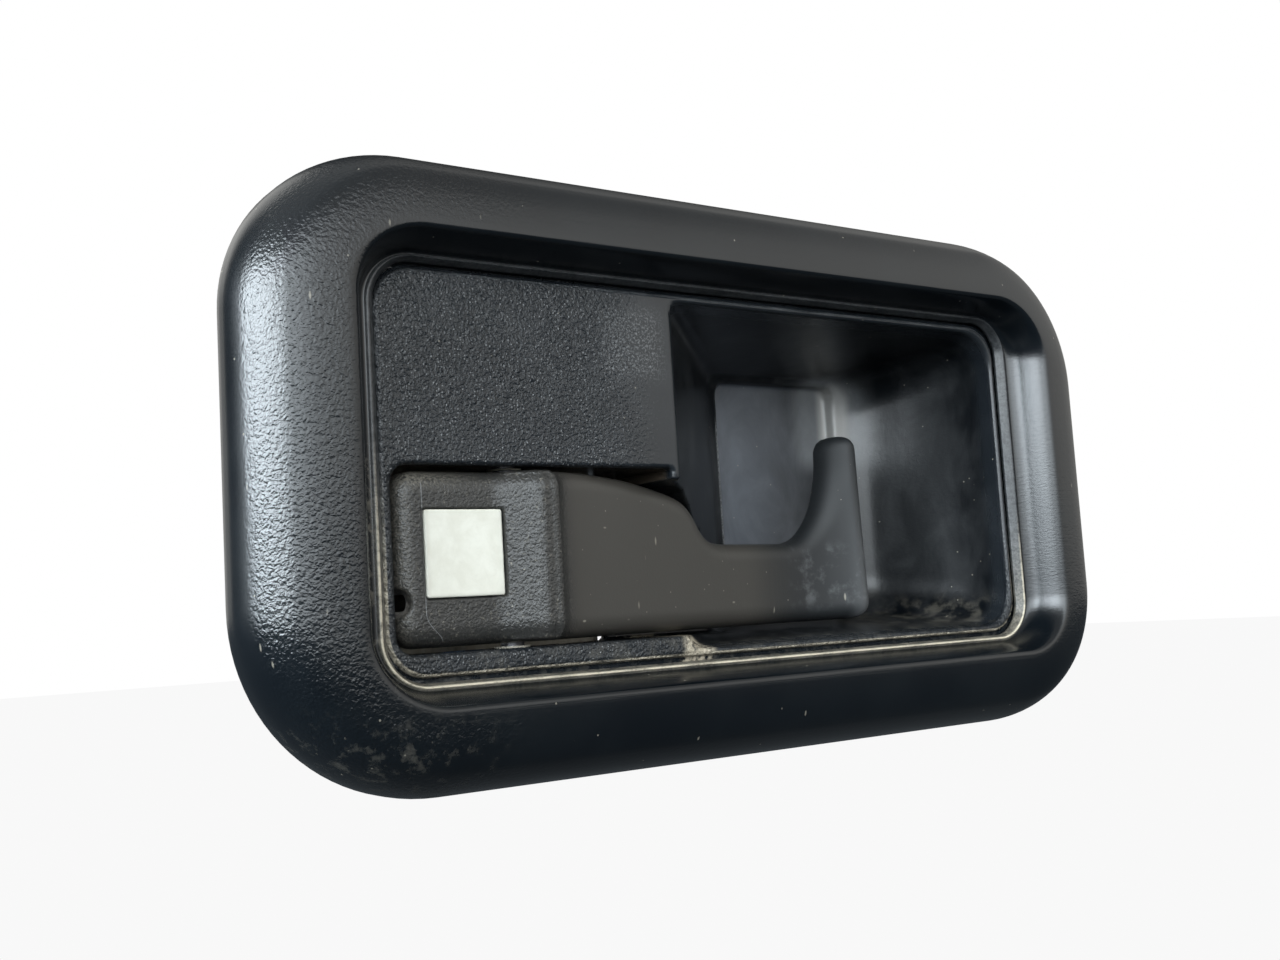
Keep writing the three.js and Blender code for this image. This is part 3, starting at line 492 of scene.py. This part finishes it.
class Nodes:
    """A short way to write a node tree."""

    def __init__(self, tree):
        self.tree = tree

    def add(self, kind, inputs=None, **settings):
        node = self.tree.nodes.new(kind)
        for key, value in settings.items():
            setattr(node, key, value)
        for key, value in (inputs or {}).items():
            self.feed(node, key, value)
        return node

    def feed(self, node, key, value):
        if isinstance(value, bpy.types.NodeSocket):
            self.tree.links.new(value, node.inputs[key])
        else:
            node.inputs[key].default_value = value

    def math(self, operation, a, b=0.0, clamp=False):
        return self.add("ShaderNodeMath", {0: a, 1: b}, operation=operation, use_clamp=clamp).outputs[0]

    def product(self, first, *others):
        for other in others:
            first = self.math("MULTIPLY", first, other)
        return first

    def total(self, first, *others, clamp=False):
        for other in others:
            first = self.math("ADD", first, other, clamp)
        return first

    def ease(self, value, low, high):
        """0 at low, 1 at high, smooth between; low may be the larger."""
        node = self.add("ShaderNodeMapRange", {"Value": value}, interpolation_type="SMOOTHSTEP")
        flipped = low > high
        ends = (high, low, 1.0, 0.0) if flipped else (low, high, 0.0, 1.0)
        for key, end in zip(("From Min", "From Max", "To Min", "To Max"), ends):
            node.inputs[key].default_value = end
        return node.outputs[0]

    def between(self, value, low, high, soft):
        """1 from low to high, falling to 0 over soft outside them."""
        return self.product(self.ease(value, low - soft, low), self.ease(value, high + soft, high))

    def noise(self, vector, scale, detail=2.0, roughness=0.5, distortion=0.0):
        return self.add("ShaderNodeTexNoise", {
            "Vector": vector, "Scale": scale, "Detail": detail, "Roughness": roughness,
            "Distortion": distortion,
        }).outputs["Fac"]

    def stretched(self, vector, scale, turn=(0.0, 0.0, 0.0)):
        return self.add("ShaderNodeMapping", {"Vector": vector, "Rotation": turn, "Scale": scale}).outputs[0]

    def specks(self, vector, scale, size, share):
        """Small dots, one in some of the cells of a Voronoi pattern."""
        cells = self.add("ShaderNodeTexVoronoi", {"Vector": vector, "Scale": scale})
        chosen = self.add("ShaderNodeSeparateColor", {"Color": cells.outputs["Color"]}).outputs[0]
        dot = self.ease(cells.outputs["Distance"], size, size * 0.4)
        return self.product(dot, self.math("GREATER_THAN", chosen, 1 - share))

    def mix(self, factor, a, b):
        node = self.add("ShaderNodeMix", data_type="RGBA")
        for key, value in (("Factor", factor), (6, a), (7, b)):
            self.feed(node, key, value)
        return node.outputs[2]

    def ring_distance(self, x, z, half, radius):
        """Distance outside a centred rounded rectangle, in the units of x and z."""
        out = [self.math("MAXIMUM", self.math("SUBTRACT", self.math("ABSOLUTE", v), h - radius), 0.0)
               for v, h in ((x, half[0]), (z, half[1]))]
        square = self.total(*[self.product(v, v) for v in out])
        return self.math("SUBTRACT", self.math("SQRT", square), radius)


def colour(r, g, b):
    return (r, g, b, 1.0)


DUST = colour(0.36, 0.33, 0.27)
# a pale grey for chalky wear and scuffs, also used for painted highlights and painted glints
CHALK_AND_HIGHLIGHT = colour(0.34, 0.35, 0.36)


class Finish:
    """A Principled material under construction, with its place in millimetres."""

    def __init__(self, name):
        self.material = bpy.data.materials.new(name)
        self.material.use_nodes = True
        tree = self.material.node_tree
        tree.nodes.clear()
        self.nodes = Nodes(tree)
        self.shader = self.nodes.add("ShaderNodeBsdfPrincipled")
        output = self.nodes.add("ShaderNodeOutputMaterial")
        tree.links.new(self.shader.outputs["BSDF"], output.inputs["Surface"])
        metres = self.nodes.add("ShaderNodeTexCoord").outputs["Object"]
        in_mm = self.nodes.add("ShaderNodeVectorMath", {0: metres, 1: (1 / MM,) * 3}, operation="MULTIPLY")
        self.place = in_mm.outputs[0]
        split = self.nodes.add("ShaderNodeSeparateXYZ", {0: self.place})
        self.x, self.y, self.z = split.outputs

    def surface(self, base, roughness, *bumps):
        """Joins the colour and roughness, and bumps of (height, depth in millimetres)."""
        self.nodes.feed(self.shader, "Base Color", base)
        self.nodes.feed(self.shader, "Roughness", roughness)
        normal = None
        for height, depth in bumps:
            node = self.nodes.add("ShaderNodeBump", {"Height": height, "Distance": depth * MM})
            if normal is not None:
                self.nodes.feed(node, "Normal", normal)
            normal = node.outputs["Normal"]
        self.nodes.feed(self.shader, "Normal", normal)
        return self.material


def pebble_grain(finish, size):
    """Heights of a moulded leather grain with cells of the given size in millimetres."""
    n = finish.nodes
    warp = n.add("ShaderNodeTexNoise",
                 {"Vector": finish.place, "Scale": 0.9 / size, "Detail": 1.0}).outputs["Color"]
    bent = n.add("ShaderNodeVectorMath", {0: finish.place, 1: warp}, operation="ADD").outputs[0]
    cells = n.add("ShaderNodeTexVoronoi", {"Vector": bent, "Scale": 1 / size, "Smoothness": 0.45},
                  feature="SMOOTH_F1").outputs["Distance"]
    fine = n.noise(finish.place, 1.6 / size, 2.0, 0.55)
    return n.total(n.product(n.math("SUBTRACT", 1.0, cells), 0.75), n.product(fine, 0.7))


def bezel_finish():
    f = Finish("bezel_plastic")
    n = f.nodes
    lip = n.ring_distance(f.x, f.z, LIP_HALF, LIP_RADIUS)
    patches = n.noise(f.place, 0.05, 4.0, 0.6)
    streaks = n.noise(n.stretched(f.place, (0.25, 1.0, 1.2)), 0.6, 4.0, 0.65)
    fine = n.noise(f.place, 2.2, 3.0, 0.6)
    low = n.ease(f.z, -6, -30)
    left = n.ease(f.x, -66, -73)
    # the lip's crest is worn bright, dusty along the bottom
    crest = n.between(lip, -1.1, 0.15, 0.55)
    bottom = n.math("MAXIMUM", low, n.product(left, n.ease(f.z, 8, -20)))
    worn = n.product(crest, n.ease(n.total(streaks, fine), 0.6, 1.35))
    edge = n.product(n.between(lip, -0.12, 0.08, 0.24),
                     n.ease(n.total(streaks, n.product(fine, 0.4)), 0.35, 0.8))
    # dust lies outside the lip on the left and in the lower left corner
    smear = n.product(n.between(lip, 0.4, 3.6, 1.4), n.between(f.z, -30, -2, 9), n.ease(f.x, -70, -75),
                      n.ease(n.noise(f.place, 0.5, 4.0, 0.7), 0.48, 0.72))
    corner = n.product(n.ease(f.x, -48, -78), n.ease(f.z, -34, -45),
                       n.ease(n.noise(f.place, 0.35, 5.0, 0.7), 0.5, 0.68))
    scuffs = n.specks(n.stretched(f.place, (0.16, 1, 1.0), (0, 0.32, 0)), 0.22, 0.11, 0.2)
    lint = n.total(n.specks(f.place, 0.25, 0.06, 0.5),
                   n.specks(n.stretched(f.place, (1, 1, 0.3), (0, 0.6, 0)), 0.3, 0.08, 0.35),
                   n.product(n.specks(f.place, 0.9, 0.16, 0.5), corner), clamp=True)
    scratches = n.product(scuffs, n.ease(f.z, -10, -38), n.ease(f.x, 10, -50))
    base = n.mix(n.ease(patches, 0.35, 0.7), colour(0.0018, 0.0033, 0.005), colour(0.0035, 0.0054, 0.0072))
    base = n.mix(n.product(smear, 0.32), base, DUST)
    base = n.mix(n.product(corner, 0.1), base, DUST)
    base = n.mix(n.product(worn, n.total(n.product(bottom, 0.35), 0.16)), base, n.mix(bottom, CHALK_AND_HIGHLIGHT, DUST))
    base = n.mix(n.product(edge, bottom, 0.95), base, colour(0.62, 0.56, 0.44))
    base = n.mix(n.product(scratches, 0.5), base, CHALK_AND_HIGHLIGHT)
    base = n.mix(n.product(lint, 0.42), base, DUST)
    dull = n.total(n.product(smear, 0.3), n.product(corner, 0.2), n.product(crest, 0.12))
    roughness = n.total(0.19, n.product(patches, 0.1), dull)
    brushed = n.noise(n.stretched(f.place, (0.06, 1.0, 3.0)), 1.0, 3.0, 0.6)
    on_left = n.ease(f.x, -40, -72)
    fade = n.product(n.ease(lip, 2.5, 8.0), n.ease(f.y, -6.5, -11), n.total(n.product(on_left, 0.75), 0.25))
    grain = n.product(pebble_grain(f, 0.68), fade)
    return f.surface(base, roughness, (grain, 0.1), (n.noise(f.place, 5.0, 2.0), 0.006),
                     (n.product(brushed, n.ease(f.x, -78, -60)), 0.02))


def bowl_finish():
    f = Finish("bowl_plastic")
    n = f.nodes
    rim = n.ring_distance(f.x, f.z, PANEL_HALF, PANEL_RADIUS)
    on_face = n.ease(f.y, -7.2, -8.2)
    patches = n.noise(f.place, 0.07, 4.0, 0.6)
    smoke = n.noise(n.stretched(f.place, (1.0, 1.0, 0.6), (0, 0.5, 0)), 0.11, 5.0, 0.62, 0.6)
    fine = n.noise(f.place, 2.4, 3.0, 0.6)
    streaks = n.noise(n.stretched(f.place, (0.2, 1.0, 1.2)), 0.7, 4.0, 0.65)
    low = n.ease(f.z, -8, -30)
    left = n.ease(f.x, -64, -72)
    bottom = n.math("MAXIMUM", low, n.product(left, n.ease(f.z, 6, -22)))
    # the panel's rim: a thin worn line, dusty along the bottom
    line = n.product(n.between(rim, -0.3, 0.0, 0.25),
                     n.ease(n.total(streaks, n.product(fine, 0.4)), 0.4, 0.9))
    # wear at the panel's upper right, where fingers pass
    scuff = n.product(n.between(f.x, -27, -20, 5), n.between(f.z, 19, 27, 4),
                      n.ease(fine, 0.46, 0.68), on_face)
    ledge = n.product(n.ease(f.z, -27.5, -30.5), n.ease(f.y, 2, -5))
    ledge_dust = n.product(ledge, n.ease(n.noise(f.place, 0.4, 5.0, 0.68), 0.47, 0.7))
    heap = n.product(n.between(f.x, -14.5, -10.5, 2.4), n.ease(f.z, -27.8, -29.4),
                     n.ease(n.noise(f.place, 0.9, 3.0), 0.3, 0.55))
    # the cup: painted shade on its walls, a hazy blue-grey floor that is partly a painted reflection, smoky
    # smears, a painted glint and glow mixed with dust at the floor's right fillet, dust at the bottom
    inside = n.ease(f.y, -6.5, -3)
    in_cup = n.product(inside, n.ease(f.x, -15, -10))
    floor = n.product(n.ease(f.y, CUP_FLOOR_Y - 1.4, CUP_FLOOR_Y - 0.3), n.between(f.x, 20, 57, 2.0))
    # dusty floor, lightened further as a painted reflection of the window light, more to the left
    floor_haze_and_sheen = n.product(floor, n.total(0.35, n.product(smoke, 0.9)), n.ease(f.x, 57, 26))
    # painted highlight: the glint where the floor turns into the right wall, mixed with brownish-white dust
    fillet = n.product(n.between(f.x, 53.5, 56.5, 2.6), n.between(f.z, 13, 24, 3.4), n.ease(f.y, 20, 24))
    # painted glow spreading round the fillet's glint, partly hazy dust
    glow = n.product(n.between(f.x, 49, 58, 7), n.between(f.z, 10, 25, 7), n.ease(f.y, 17, 23),
                     n.total(n.product(smoke, 0.9), 0.35))
    smears = n.product(in_cup, n.ease(smoke, 0.36, 0.8))
    sill = n.product(in_cup, n.ease(f.z, -22.5, -28.5), n.ease(f.x, 34, 46),
                     n.ease(n.noise(f.place, 0.28, 5.0, 0.7), 0.42, 0.66))
    left_edge = n.product(n.between(f.x, 20.4, 21.6, 0.35), n.ease(f.y, 20.5, 22), n.between(f.z, -24, 14, 3),
                          n.ease(fine, 0.35, 0.6))
    # the slot wall above the lever: brown dust and a painted warm reflection
    slot = n.product(n.between(f.z, -0.6, 1.4, 0.5), n.ease(f.y, -7.6, -5.5), n.ease(f.x, -10, -14))
    base = n.mix(n.ease(patches, 0.35, 0.7), colour(0.008, 0.0105, 0.0135), colour(0.016, 0.019, 0.0225))
    # painted shade: the inside of the cup gets a darker colour than the panel, standing in for shade in the
    # hollow
    base = n.mix(in_cup, base, colour(0.001, 0.002, 0.0033))
    base = n.mix(n.product(smears, 0.07), base, CHALK_AND_HIGHLIGHT)
    # hazy dust and painted reflection on the cup's floor
    base = n.mix(n.product(floor_haze_and_sheen, 0.42), base, colour(0.2, 0.22, 0.26))
    # painted glow round the glint, partly hazy dust
    base = n.mix(n.product(glow, 0.5), base, colour(0.26, 0.27, 0.28))
    # painted highlight with dust at the floor's right fillet
    base = n.mix(n.product(fillet, 0.6), base, colour(0.40, 0.39, 0.37))
    base = n.mix(n.product(sill, 0.16), base, DUST)
    base = n.mix(n.product(left_edge, 0.6), base, CHALK_AND_HIGHLIGHT)
    # brown dust and painted warm reflection on the slot wall
    base = n.mix(n.product(slot, 0.5), base, colour(0.10, 0.075, 0.05))
    base = n.mix(n.product(scuff, 0.3), base, CHALK_AND_HIGHLIGHT)
    base = n.mix(n.product(ledge_dust, 0.1), base, DUST)
    base = n.mix(n.product(heap, 0.85), base, colour(0.5, 0.44, 0.34))
    base = n.mix(n.product(line, n.total(n.product(bottom, 0.7), 0.25)), base,
                 n.mix(bottom, CHALK_AND_HIGHLIGHT, colour(0.6, 0.54, 0.43)))
    lint = n.total(n.specks(f.place, 0.35, 0.07, 0.5),
                   n.specks(n.stretched(f.place, (0.3, 1, 1), (0, 0.7, 0)), 0.3, 0.07, 0.3), clamp=True)
    base = n.mix(n.product(lint, 0.5), base, DUST)
    # painted glints: small bright specks on the left of the panel's face where its grain would catch the
    # light
    glint_specks = n.product(on_face, n.ease(f.x, -15, -36), n.specks(f.place, 1.9, 0.34, 0.4))
    base = n.mix(n.product(glint_specks, 0.42), base, CHALK_AND_HIGHLIGHT)
    roughness = n.total(0.25, n.product(patches, on_face, 0.12), n.product(ledge_dust, 0.2),
                        n.product(floor_haze_and_sheen, 0.2), n.product(in_cup, 0.05))
    grained = n.total(n.product(on_face, n.ease(f.x, -17, -33)), n.product(on_face, low), 0.05, clamp=True)
    grain = n.product(pebble_grain(f, 0.62), grained)
    return f.surface(base, roughness, (grain, 0.26), (n.noise(f.place, 4.0, 2.0), 0.004))


def lever_finish():
    f = Finish("lever_plastic")
    n = f.nodes
    fine = n.noise(f.place, 2.6, 3.0, 0.65)
    patches = n.noise(f.place, 0.09, 4.0, 0.6)
    arm = n.ease(f.x, -41.8, -37)
    tip = n.ease(f.x, 8, 30)
    # dust sticks in the grain and on the pad's edges
    grit = n.product(n.math("SUBTRACT", 1.0, arm), n.ease(n.noise(f.place, 1.5, 3.0, 0.7), 0.56, 0.78))
    pad_edge = n.math("MAXIMUM", n.ease(f.z, -4, -0.6), n.product(n.ease(f.x, -66, -69), 0.5))
    rim_dust = n.product(n.ease(f.x, -52, -68), pad_edge, n.ease(fine, 0.38, 0.6))
    # a thin step shows left of the marker and turns under it
    curl = n.ease(f.z, -21.5, -27.5)
    offset = n.math("SUBTRACT", f.x, n.total(n.product(curl, curl, 3.2), -65.2))
    step = n.product(n.between(offset, -0.06, 0.06, 0.09), n.between(f.z, -26.6, -2.4, 0.8),
                     n.ease(f.y, -6.5, -7.4))
    smudge = n.product(n.between(f.x, 26, 37, 5), n.between(f.z, -23, -15, 4),
                       n.ease(n.noise(f.place, 0.3, 4.0, 0.65), 0.45, 0.72))
    # painted highlight along the fin's rounded front edge
    tip_edge_highlight = n.product(n.ease(f.x, 35.5, 38.6), n.ease(f.z, 10, -26))
    lint = n.total(n.specks(f.place, 0.5, 0.09, 0.5),
                   n.specks(n.stretched(f.place, (0.4, 1, 1), (0, 0.9, 0)), 0.35, 0.09, 0.4),
                   n.specks(n.stretched(f.place, (1, 1, 0.3), (0, 0.4, 0)), 0.3, 0.09, 0.3), clamp=True)
    base = n.mix(n.ease(patches, 0.3, 0.75), colour(0.022, 0.022, 0.021), colour(0.031, 0.030, 0.028))
    # painted warm reflection: the arm gets a lighter brown-grey than the pad
    base = n.mix(n.product(arm, n.math("SUBTRACT", 1.0, tip)), base, colour(0.042, 0.0385, 0.0335))
    # painted shade: the arm's end, deep in the cup, is made darker
    base = n.mix(tip, base, colour(0.007, 0.0085, 0.010))
    base = n.mix(n.product(grit, 0.3), base, DUST)
    base = n.mix(n.product(rim_dust, 0.35), base, DUST)
    base = n.mix(n.product(smudge, 0.14), base, CHALK_AND_HIGHLIGHT)
    # painted highlight on the fin's front edge
    base = n.mix(n.product(tip_edge_highlight, 0.13), base, CHALK_AND_HIGHLIGHT)
    base = n.mix(n.product(step, 0.3), base, CHALK_AND_HIGHLIGHT)
    base = n.mix(n.product(lint, 0.55), base, DUST)
    roughness = n.total(0.28, n.product(patches, 0.1), n.product(arm, 0.12), n.product(tip, 0.12),
                        n.product(rim_dust, 0.2))
    grain = n.product(pebble_grain(f, 0.6), n.total(n.product(n.math("SUBTRACT", 1.0, arm), 0.93), 0.07))
    return f.surface(base, roughness, (grain, 0.12), (n.noise(f.place, 4.5, 2.0), 0.012), (step, -0.08))


def tile_finish():
    f = Finish("tile_plastic")
    n = f.nodes
    clouds = n.noise(f.place, 0.28, 4.0, 0.6, 0.4)
    fine = n.noise(f.place, 1.8, 3.0, 0.6)
    base = n.mix(n.ease(clouds, 0.3, 0.75), colour(0.66, 0.65, 0.57), colour(0.75, 0.745, 0.67))
    base = n.mix(n.product(n.ease(fine, 0.5, 0.8), 0.12), base, colour(0.5, 0.48, 0.42))
    # painted shade along the tile's left and bottom edges, where it sits in its pocket
    edge = n.total(n.ease(f.x, TILE_LOW[0] + 1.2, TILE_LOW[0]), n.ease(f.z, TILE_LOW[2] + 0.9, TILE_LOW[2]),
                   clamp=True)
    base = n.mix(n.product(edge, 0.3), base, colour(0.34, 0.32, 0.27))
    return f.surface(base, n.total(0.45, n.product(clouds, 0.2)), (fine, 0.01))


def plain_finish(name, base, roughness, metallic=0.0, fleck=0.25, size=0.6, depth=0.02):
    """One colour broken up by grime and fine wear."""
    f = Finish(name)
    n = f.nodes
    fine = n.noise(f.place, 1 / size, 3.0, 0.6)
    grime = n.noise(f.place, 0.16, 4.0, 0.65)
    dark = colour(*[c * (1 - fleck) for c in base])
    tint = n.mix(n.ease(fine, 0.35, 0.7), dark, colour(*base))
    tint = n.mix(n.product(n.ease(grime, 0.5, 0.75), 0.35), tint, colour(*[c * 0.45 for c in base]))
    f.shader.inputs["Metallic"].default_value = metallic
    uneven = n.total(roughness - 0.08, n.product(fine, 0.1), n.product(grime, 0.12))
    return f.surface(tint, uneven, (fine, depth))


def paint(piece, material):
    piece.data.materials.clear()
    piece.data.materials.append(material)


# ---------------------------------------------------------------- pieces

def add_piece(piece, body, material, slot, *replaced):
    paint(piece, material)
    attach(piece, body)
    if replaced:
        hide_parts(*replaced)
    return piece


FINISHES = {
    "bezel_plastic": bezel_finish(),
    "bowl_plastic": bowl_finish(),
    "lever_plastic": lever_finish(),
    "tile_plastic": tile_finish(),
    "plated_steel": plain_finish("plated_steel", (0.36, 0.34, 0.29), 0.42, 1.0, 0.25, 1.2, 0.012),
    "spring_steel": plain_finish("spring_steel", (0.16, 0.16, 0.17), 0.36, 1.0, 0.25, 0.8, 0.01),
    "bush_plastic": plain_finish("bush_plastic", (0.66, 0.62, 0.52), 0.45, 0.0, 0.1),
    "clip_plastic": plain_finish("clip_plastic", (0.045, 0.13, 0.28), 0.4, 0.0, 0.15),
    "buffer_rubber": plain_finish("buffer_rubber", (0.012, 0.012, 0.012), 0.75, 0.0, 0.3, 0.5, 0.04),
    "seal_foam": plain_finish("seal_foam", (0.026, 0.026, 0.028), 0.95, 0.0, 0.6, 0.35, 0.12),
}


def tile_field(x, y, z):
    outline = rounded_rect(x, z, (TILE_LOW[0], TILE_LOW[2]), (TILE_HIGH[0], TILE_HIGH[2]), 0.4)
    return slab(outline, y, TILE_LOW[1], TILE_HIGH[1], 0.18)


add_piece(make_bezel(), "housing", FINISHES["bezel_plastic"], "bezel_plastic", "bezel")
add_piece(moulded("bowl_moulding", bowl_field, BOWL_LOW, BOWL_HIGH, 0.75), "housing",
          FINISHES["bowl_plastic"], "bowl_plastic", "bowl")
add_piece(moulded("lever_moulding", lever_field, LEVER_LOW, LEVER_HIGH, 0.5), "pull_lever",
          FINISHES["lever_plastic"], "lever_plastic", "lever")
add_piece(moulded("marker_inlay", tile_field, TILE_LOW, TILE_HIGH, 0.2), "pull_lever",
          FINISHES["tile_plastic"], "tile_plastic", "marker_tile")

CAD_FINISH = {
    "foam_seal": "seal_foam", "rod_clip": "clip_plastic", "bush_upper": "bush_plastic",
    "bush_lower": "bush_plastic", "circlip": "spring_steel", "return_spring": "spring_steel",
    "rest_buffer": "buffer_rubber", "open_buffer": "buffer_rubber", "pivot_pin": "spring_steel",
}
for name, node in frame["nodes"].items():
    if name not in ("bezel", "bowl", "lever", "marker_tile"):
        default = "spring_steel" if name.startswith("bezel_clip") else "plated_steel"
        paint(node, FINISHES[CAD_FINISH.get(name, default)])

# ---------------------------------------------------------------- stage, light and camera

CAMERA_SPOT = Vector((-161.57, -202.75, -25.13)) * MM
CAMERA_ANGLES = tuple(math.radians(a) for a in (-35.448, -5.711, -3.468))
FOCAL_OVER_WIDTH = 1369.66 / 1280
FLOOR_LEVEL, FLOOR_REACH = -0.6, 20.0
PALE = (0.94, 0.94, 0.94)
WINDOW_POWER, WALL_POWER, CEILING_POWER, FRONT_POWER, BEHIND_POWER = 20.0, 7.5, 0.45, 1.05, 1.0
ROOM_DARKEST = 0.03
WINDOW_TINT, ROOM_TINT = (0.83, 0.93, 1.0), (1.0, 0.99, 0.95)


def make_camera():
    azimuth, elevation, roll = CAMERA_ANGLES
    forward = Vector((-math.sin(azimuth) * math.cos(elevation), math.cos(azimuth) * math.cos(elevation),
                      -math.sin(elevation)))
    right = Vector((math.cos(azimuth), math.sin(azimuth), 0))
    up = right.cross(forward)
    rolled_right = right * math.cos(roll) + up * math.sin(roll)
    rolled_up = rolled_right.cross(forward)
    data = bpy.data.cameras.new("camera")
    data.sensor_width = 36
    data.lens = FOCAL_OVER_WIDTH * data.sensor_width
    data.clip_start, data.clip_end = 0.01, 50
    camera = bpy.data.objects.new("camera", data)
    bpy.context.scene.collection.objects.link(camera)
    turn = Matrix((rolled_right, rolled_up, -forward)).transposed()
    camera.matrix_world = Matrix.LocRotScale(CAMERA_SPOT, turn, None)
    bpy.context.scene.camera = camera


def make_stage():
    """A floor well below the handle, pale to the camera but dark in what the handle reflects."""
    mesh = bpy.data.meshes.new("floor")
    signs = ((-1, -1), (1, -1), (1, 1), (-1, 1))
    corners = [(x * FLOOR_REACH, y * FLOOR_REACH, FLOOR_LEVEL) for x, y in signs]
    mesh.from_pydata(corners, [], [(0, 1, 2, 3)])
    floor = bpy.data.objects.new("floor", mesh)
    bpy.context.scene.collection.objects.link(floor)
    material = bpy.data.materials.new("pale_floor")
    material.use_nodes = True
    material.node_tree.nodes.clear()
    nodes = Nodes(material.node_tree)
    seen = nodes.add("ShaderNodeLightPath").outputs["Is Camera Ray"]
    dim = nodes.add("ShaderNodeBsdfDiffuse", {"Color": colour(0.06, 0.065, 0.07)}).outputs[0]
    white = nodes.add("ShaderNodeEmission", {"Color": colour(*PALE)}).outputs[0]
    surface = nodes.add("ShaderNodeMixShader", {0: seen, 1: dim, 2: white}).outputs[0]
    nodes.add("ShaderNodeOutputMaterial", {"Surface": surface})
    paint(floor, material)


def make_world():
    """A white studio with a window on the left, lit walls in front, and a dim side behind.

    The camera sees plain white, whatever the direction.
    """
    world = bpy.data.worlds.new("studio")
    world.use_nodes = True
    n = Nodes(world.node_tree)
    x, y, z = n.add("ShaderNodeSeparateXYZ", {0: n.add("ShaderNodeTexCoord").outputs["Generated"]}).outputs
    # the bearing is 0 to the left of the handle and 90 degrees straight in front of it
    bearing = n.math("DEGREES", n.math("ARCTAN2", n.math("MULTIPLY", y, -1.0), n.math("MULTIPLY", x, -1.0)))
    horizon = n.ease(z, -0.08, 0.17)
    dusk = n.ease(z, -0.55, 0.2)
    window = n.product(n.ease(bearing, -35, -30), n.ease(bearing, 24, 2), n.ease(z, 0.56, 0.38), WINDOW_POWER)
    wall = n.product(n.ease(bearing, -4, 22), n.ease(bearing, 128, 25), n.ease(z, 0.62, 0.4), WALL_POWER)
    ceiling = n.product(n.ease(y, 0.75, 0.3), CEILING_POWER)
    front = n.product(n.ease(y, 0.3, -0.3), n.ease(z, 0.8, 0.3), n.ease(x, 1.25, 0.5), FRONT_POWER)
    behind = n.product(n.between(bearing, -95, -75, 8), n.ease(z, 0.9, 0.6), BEHIND_POWER)
    daylight = n.product(horizon, n.total(window, wall))
    room = n.total(n.product(dusk, n.total(ceiling, front)), behind, ROOM_DARKEST)
    cool = n.add("ShaderNodeVectorMath", {0: WINDOW_TINT, "Scale": daylight}, operation="SCALE").outputs[0]
    warm = n.add("ShaderNodeVectorMath", {0: ROOM_TINT, "Scale": room}, operation="SCALE").outputs[0]
    light = n.add("ShaderNodeVectorMath", {0: cool, 1: warm}, operation="ADD").outputs[0]
    seen = n.add("ShaderNodeLightPath").outputs["Is Camera Ray"]
    n.feed(world.node_tree.nodes["Background"], "Color", n.mix(seen, light, colour(1.0, 1.0, 1.0)))
    bpy.context.scene.world = world


make_camera()
make_stage()
make_world()
bpy.context.scene.view_settings.view_transform = "Standard"
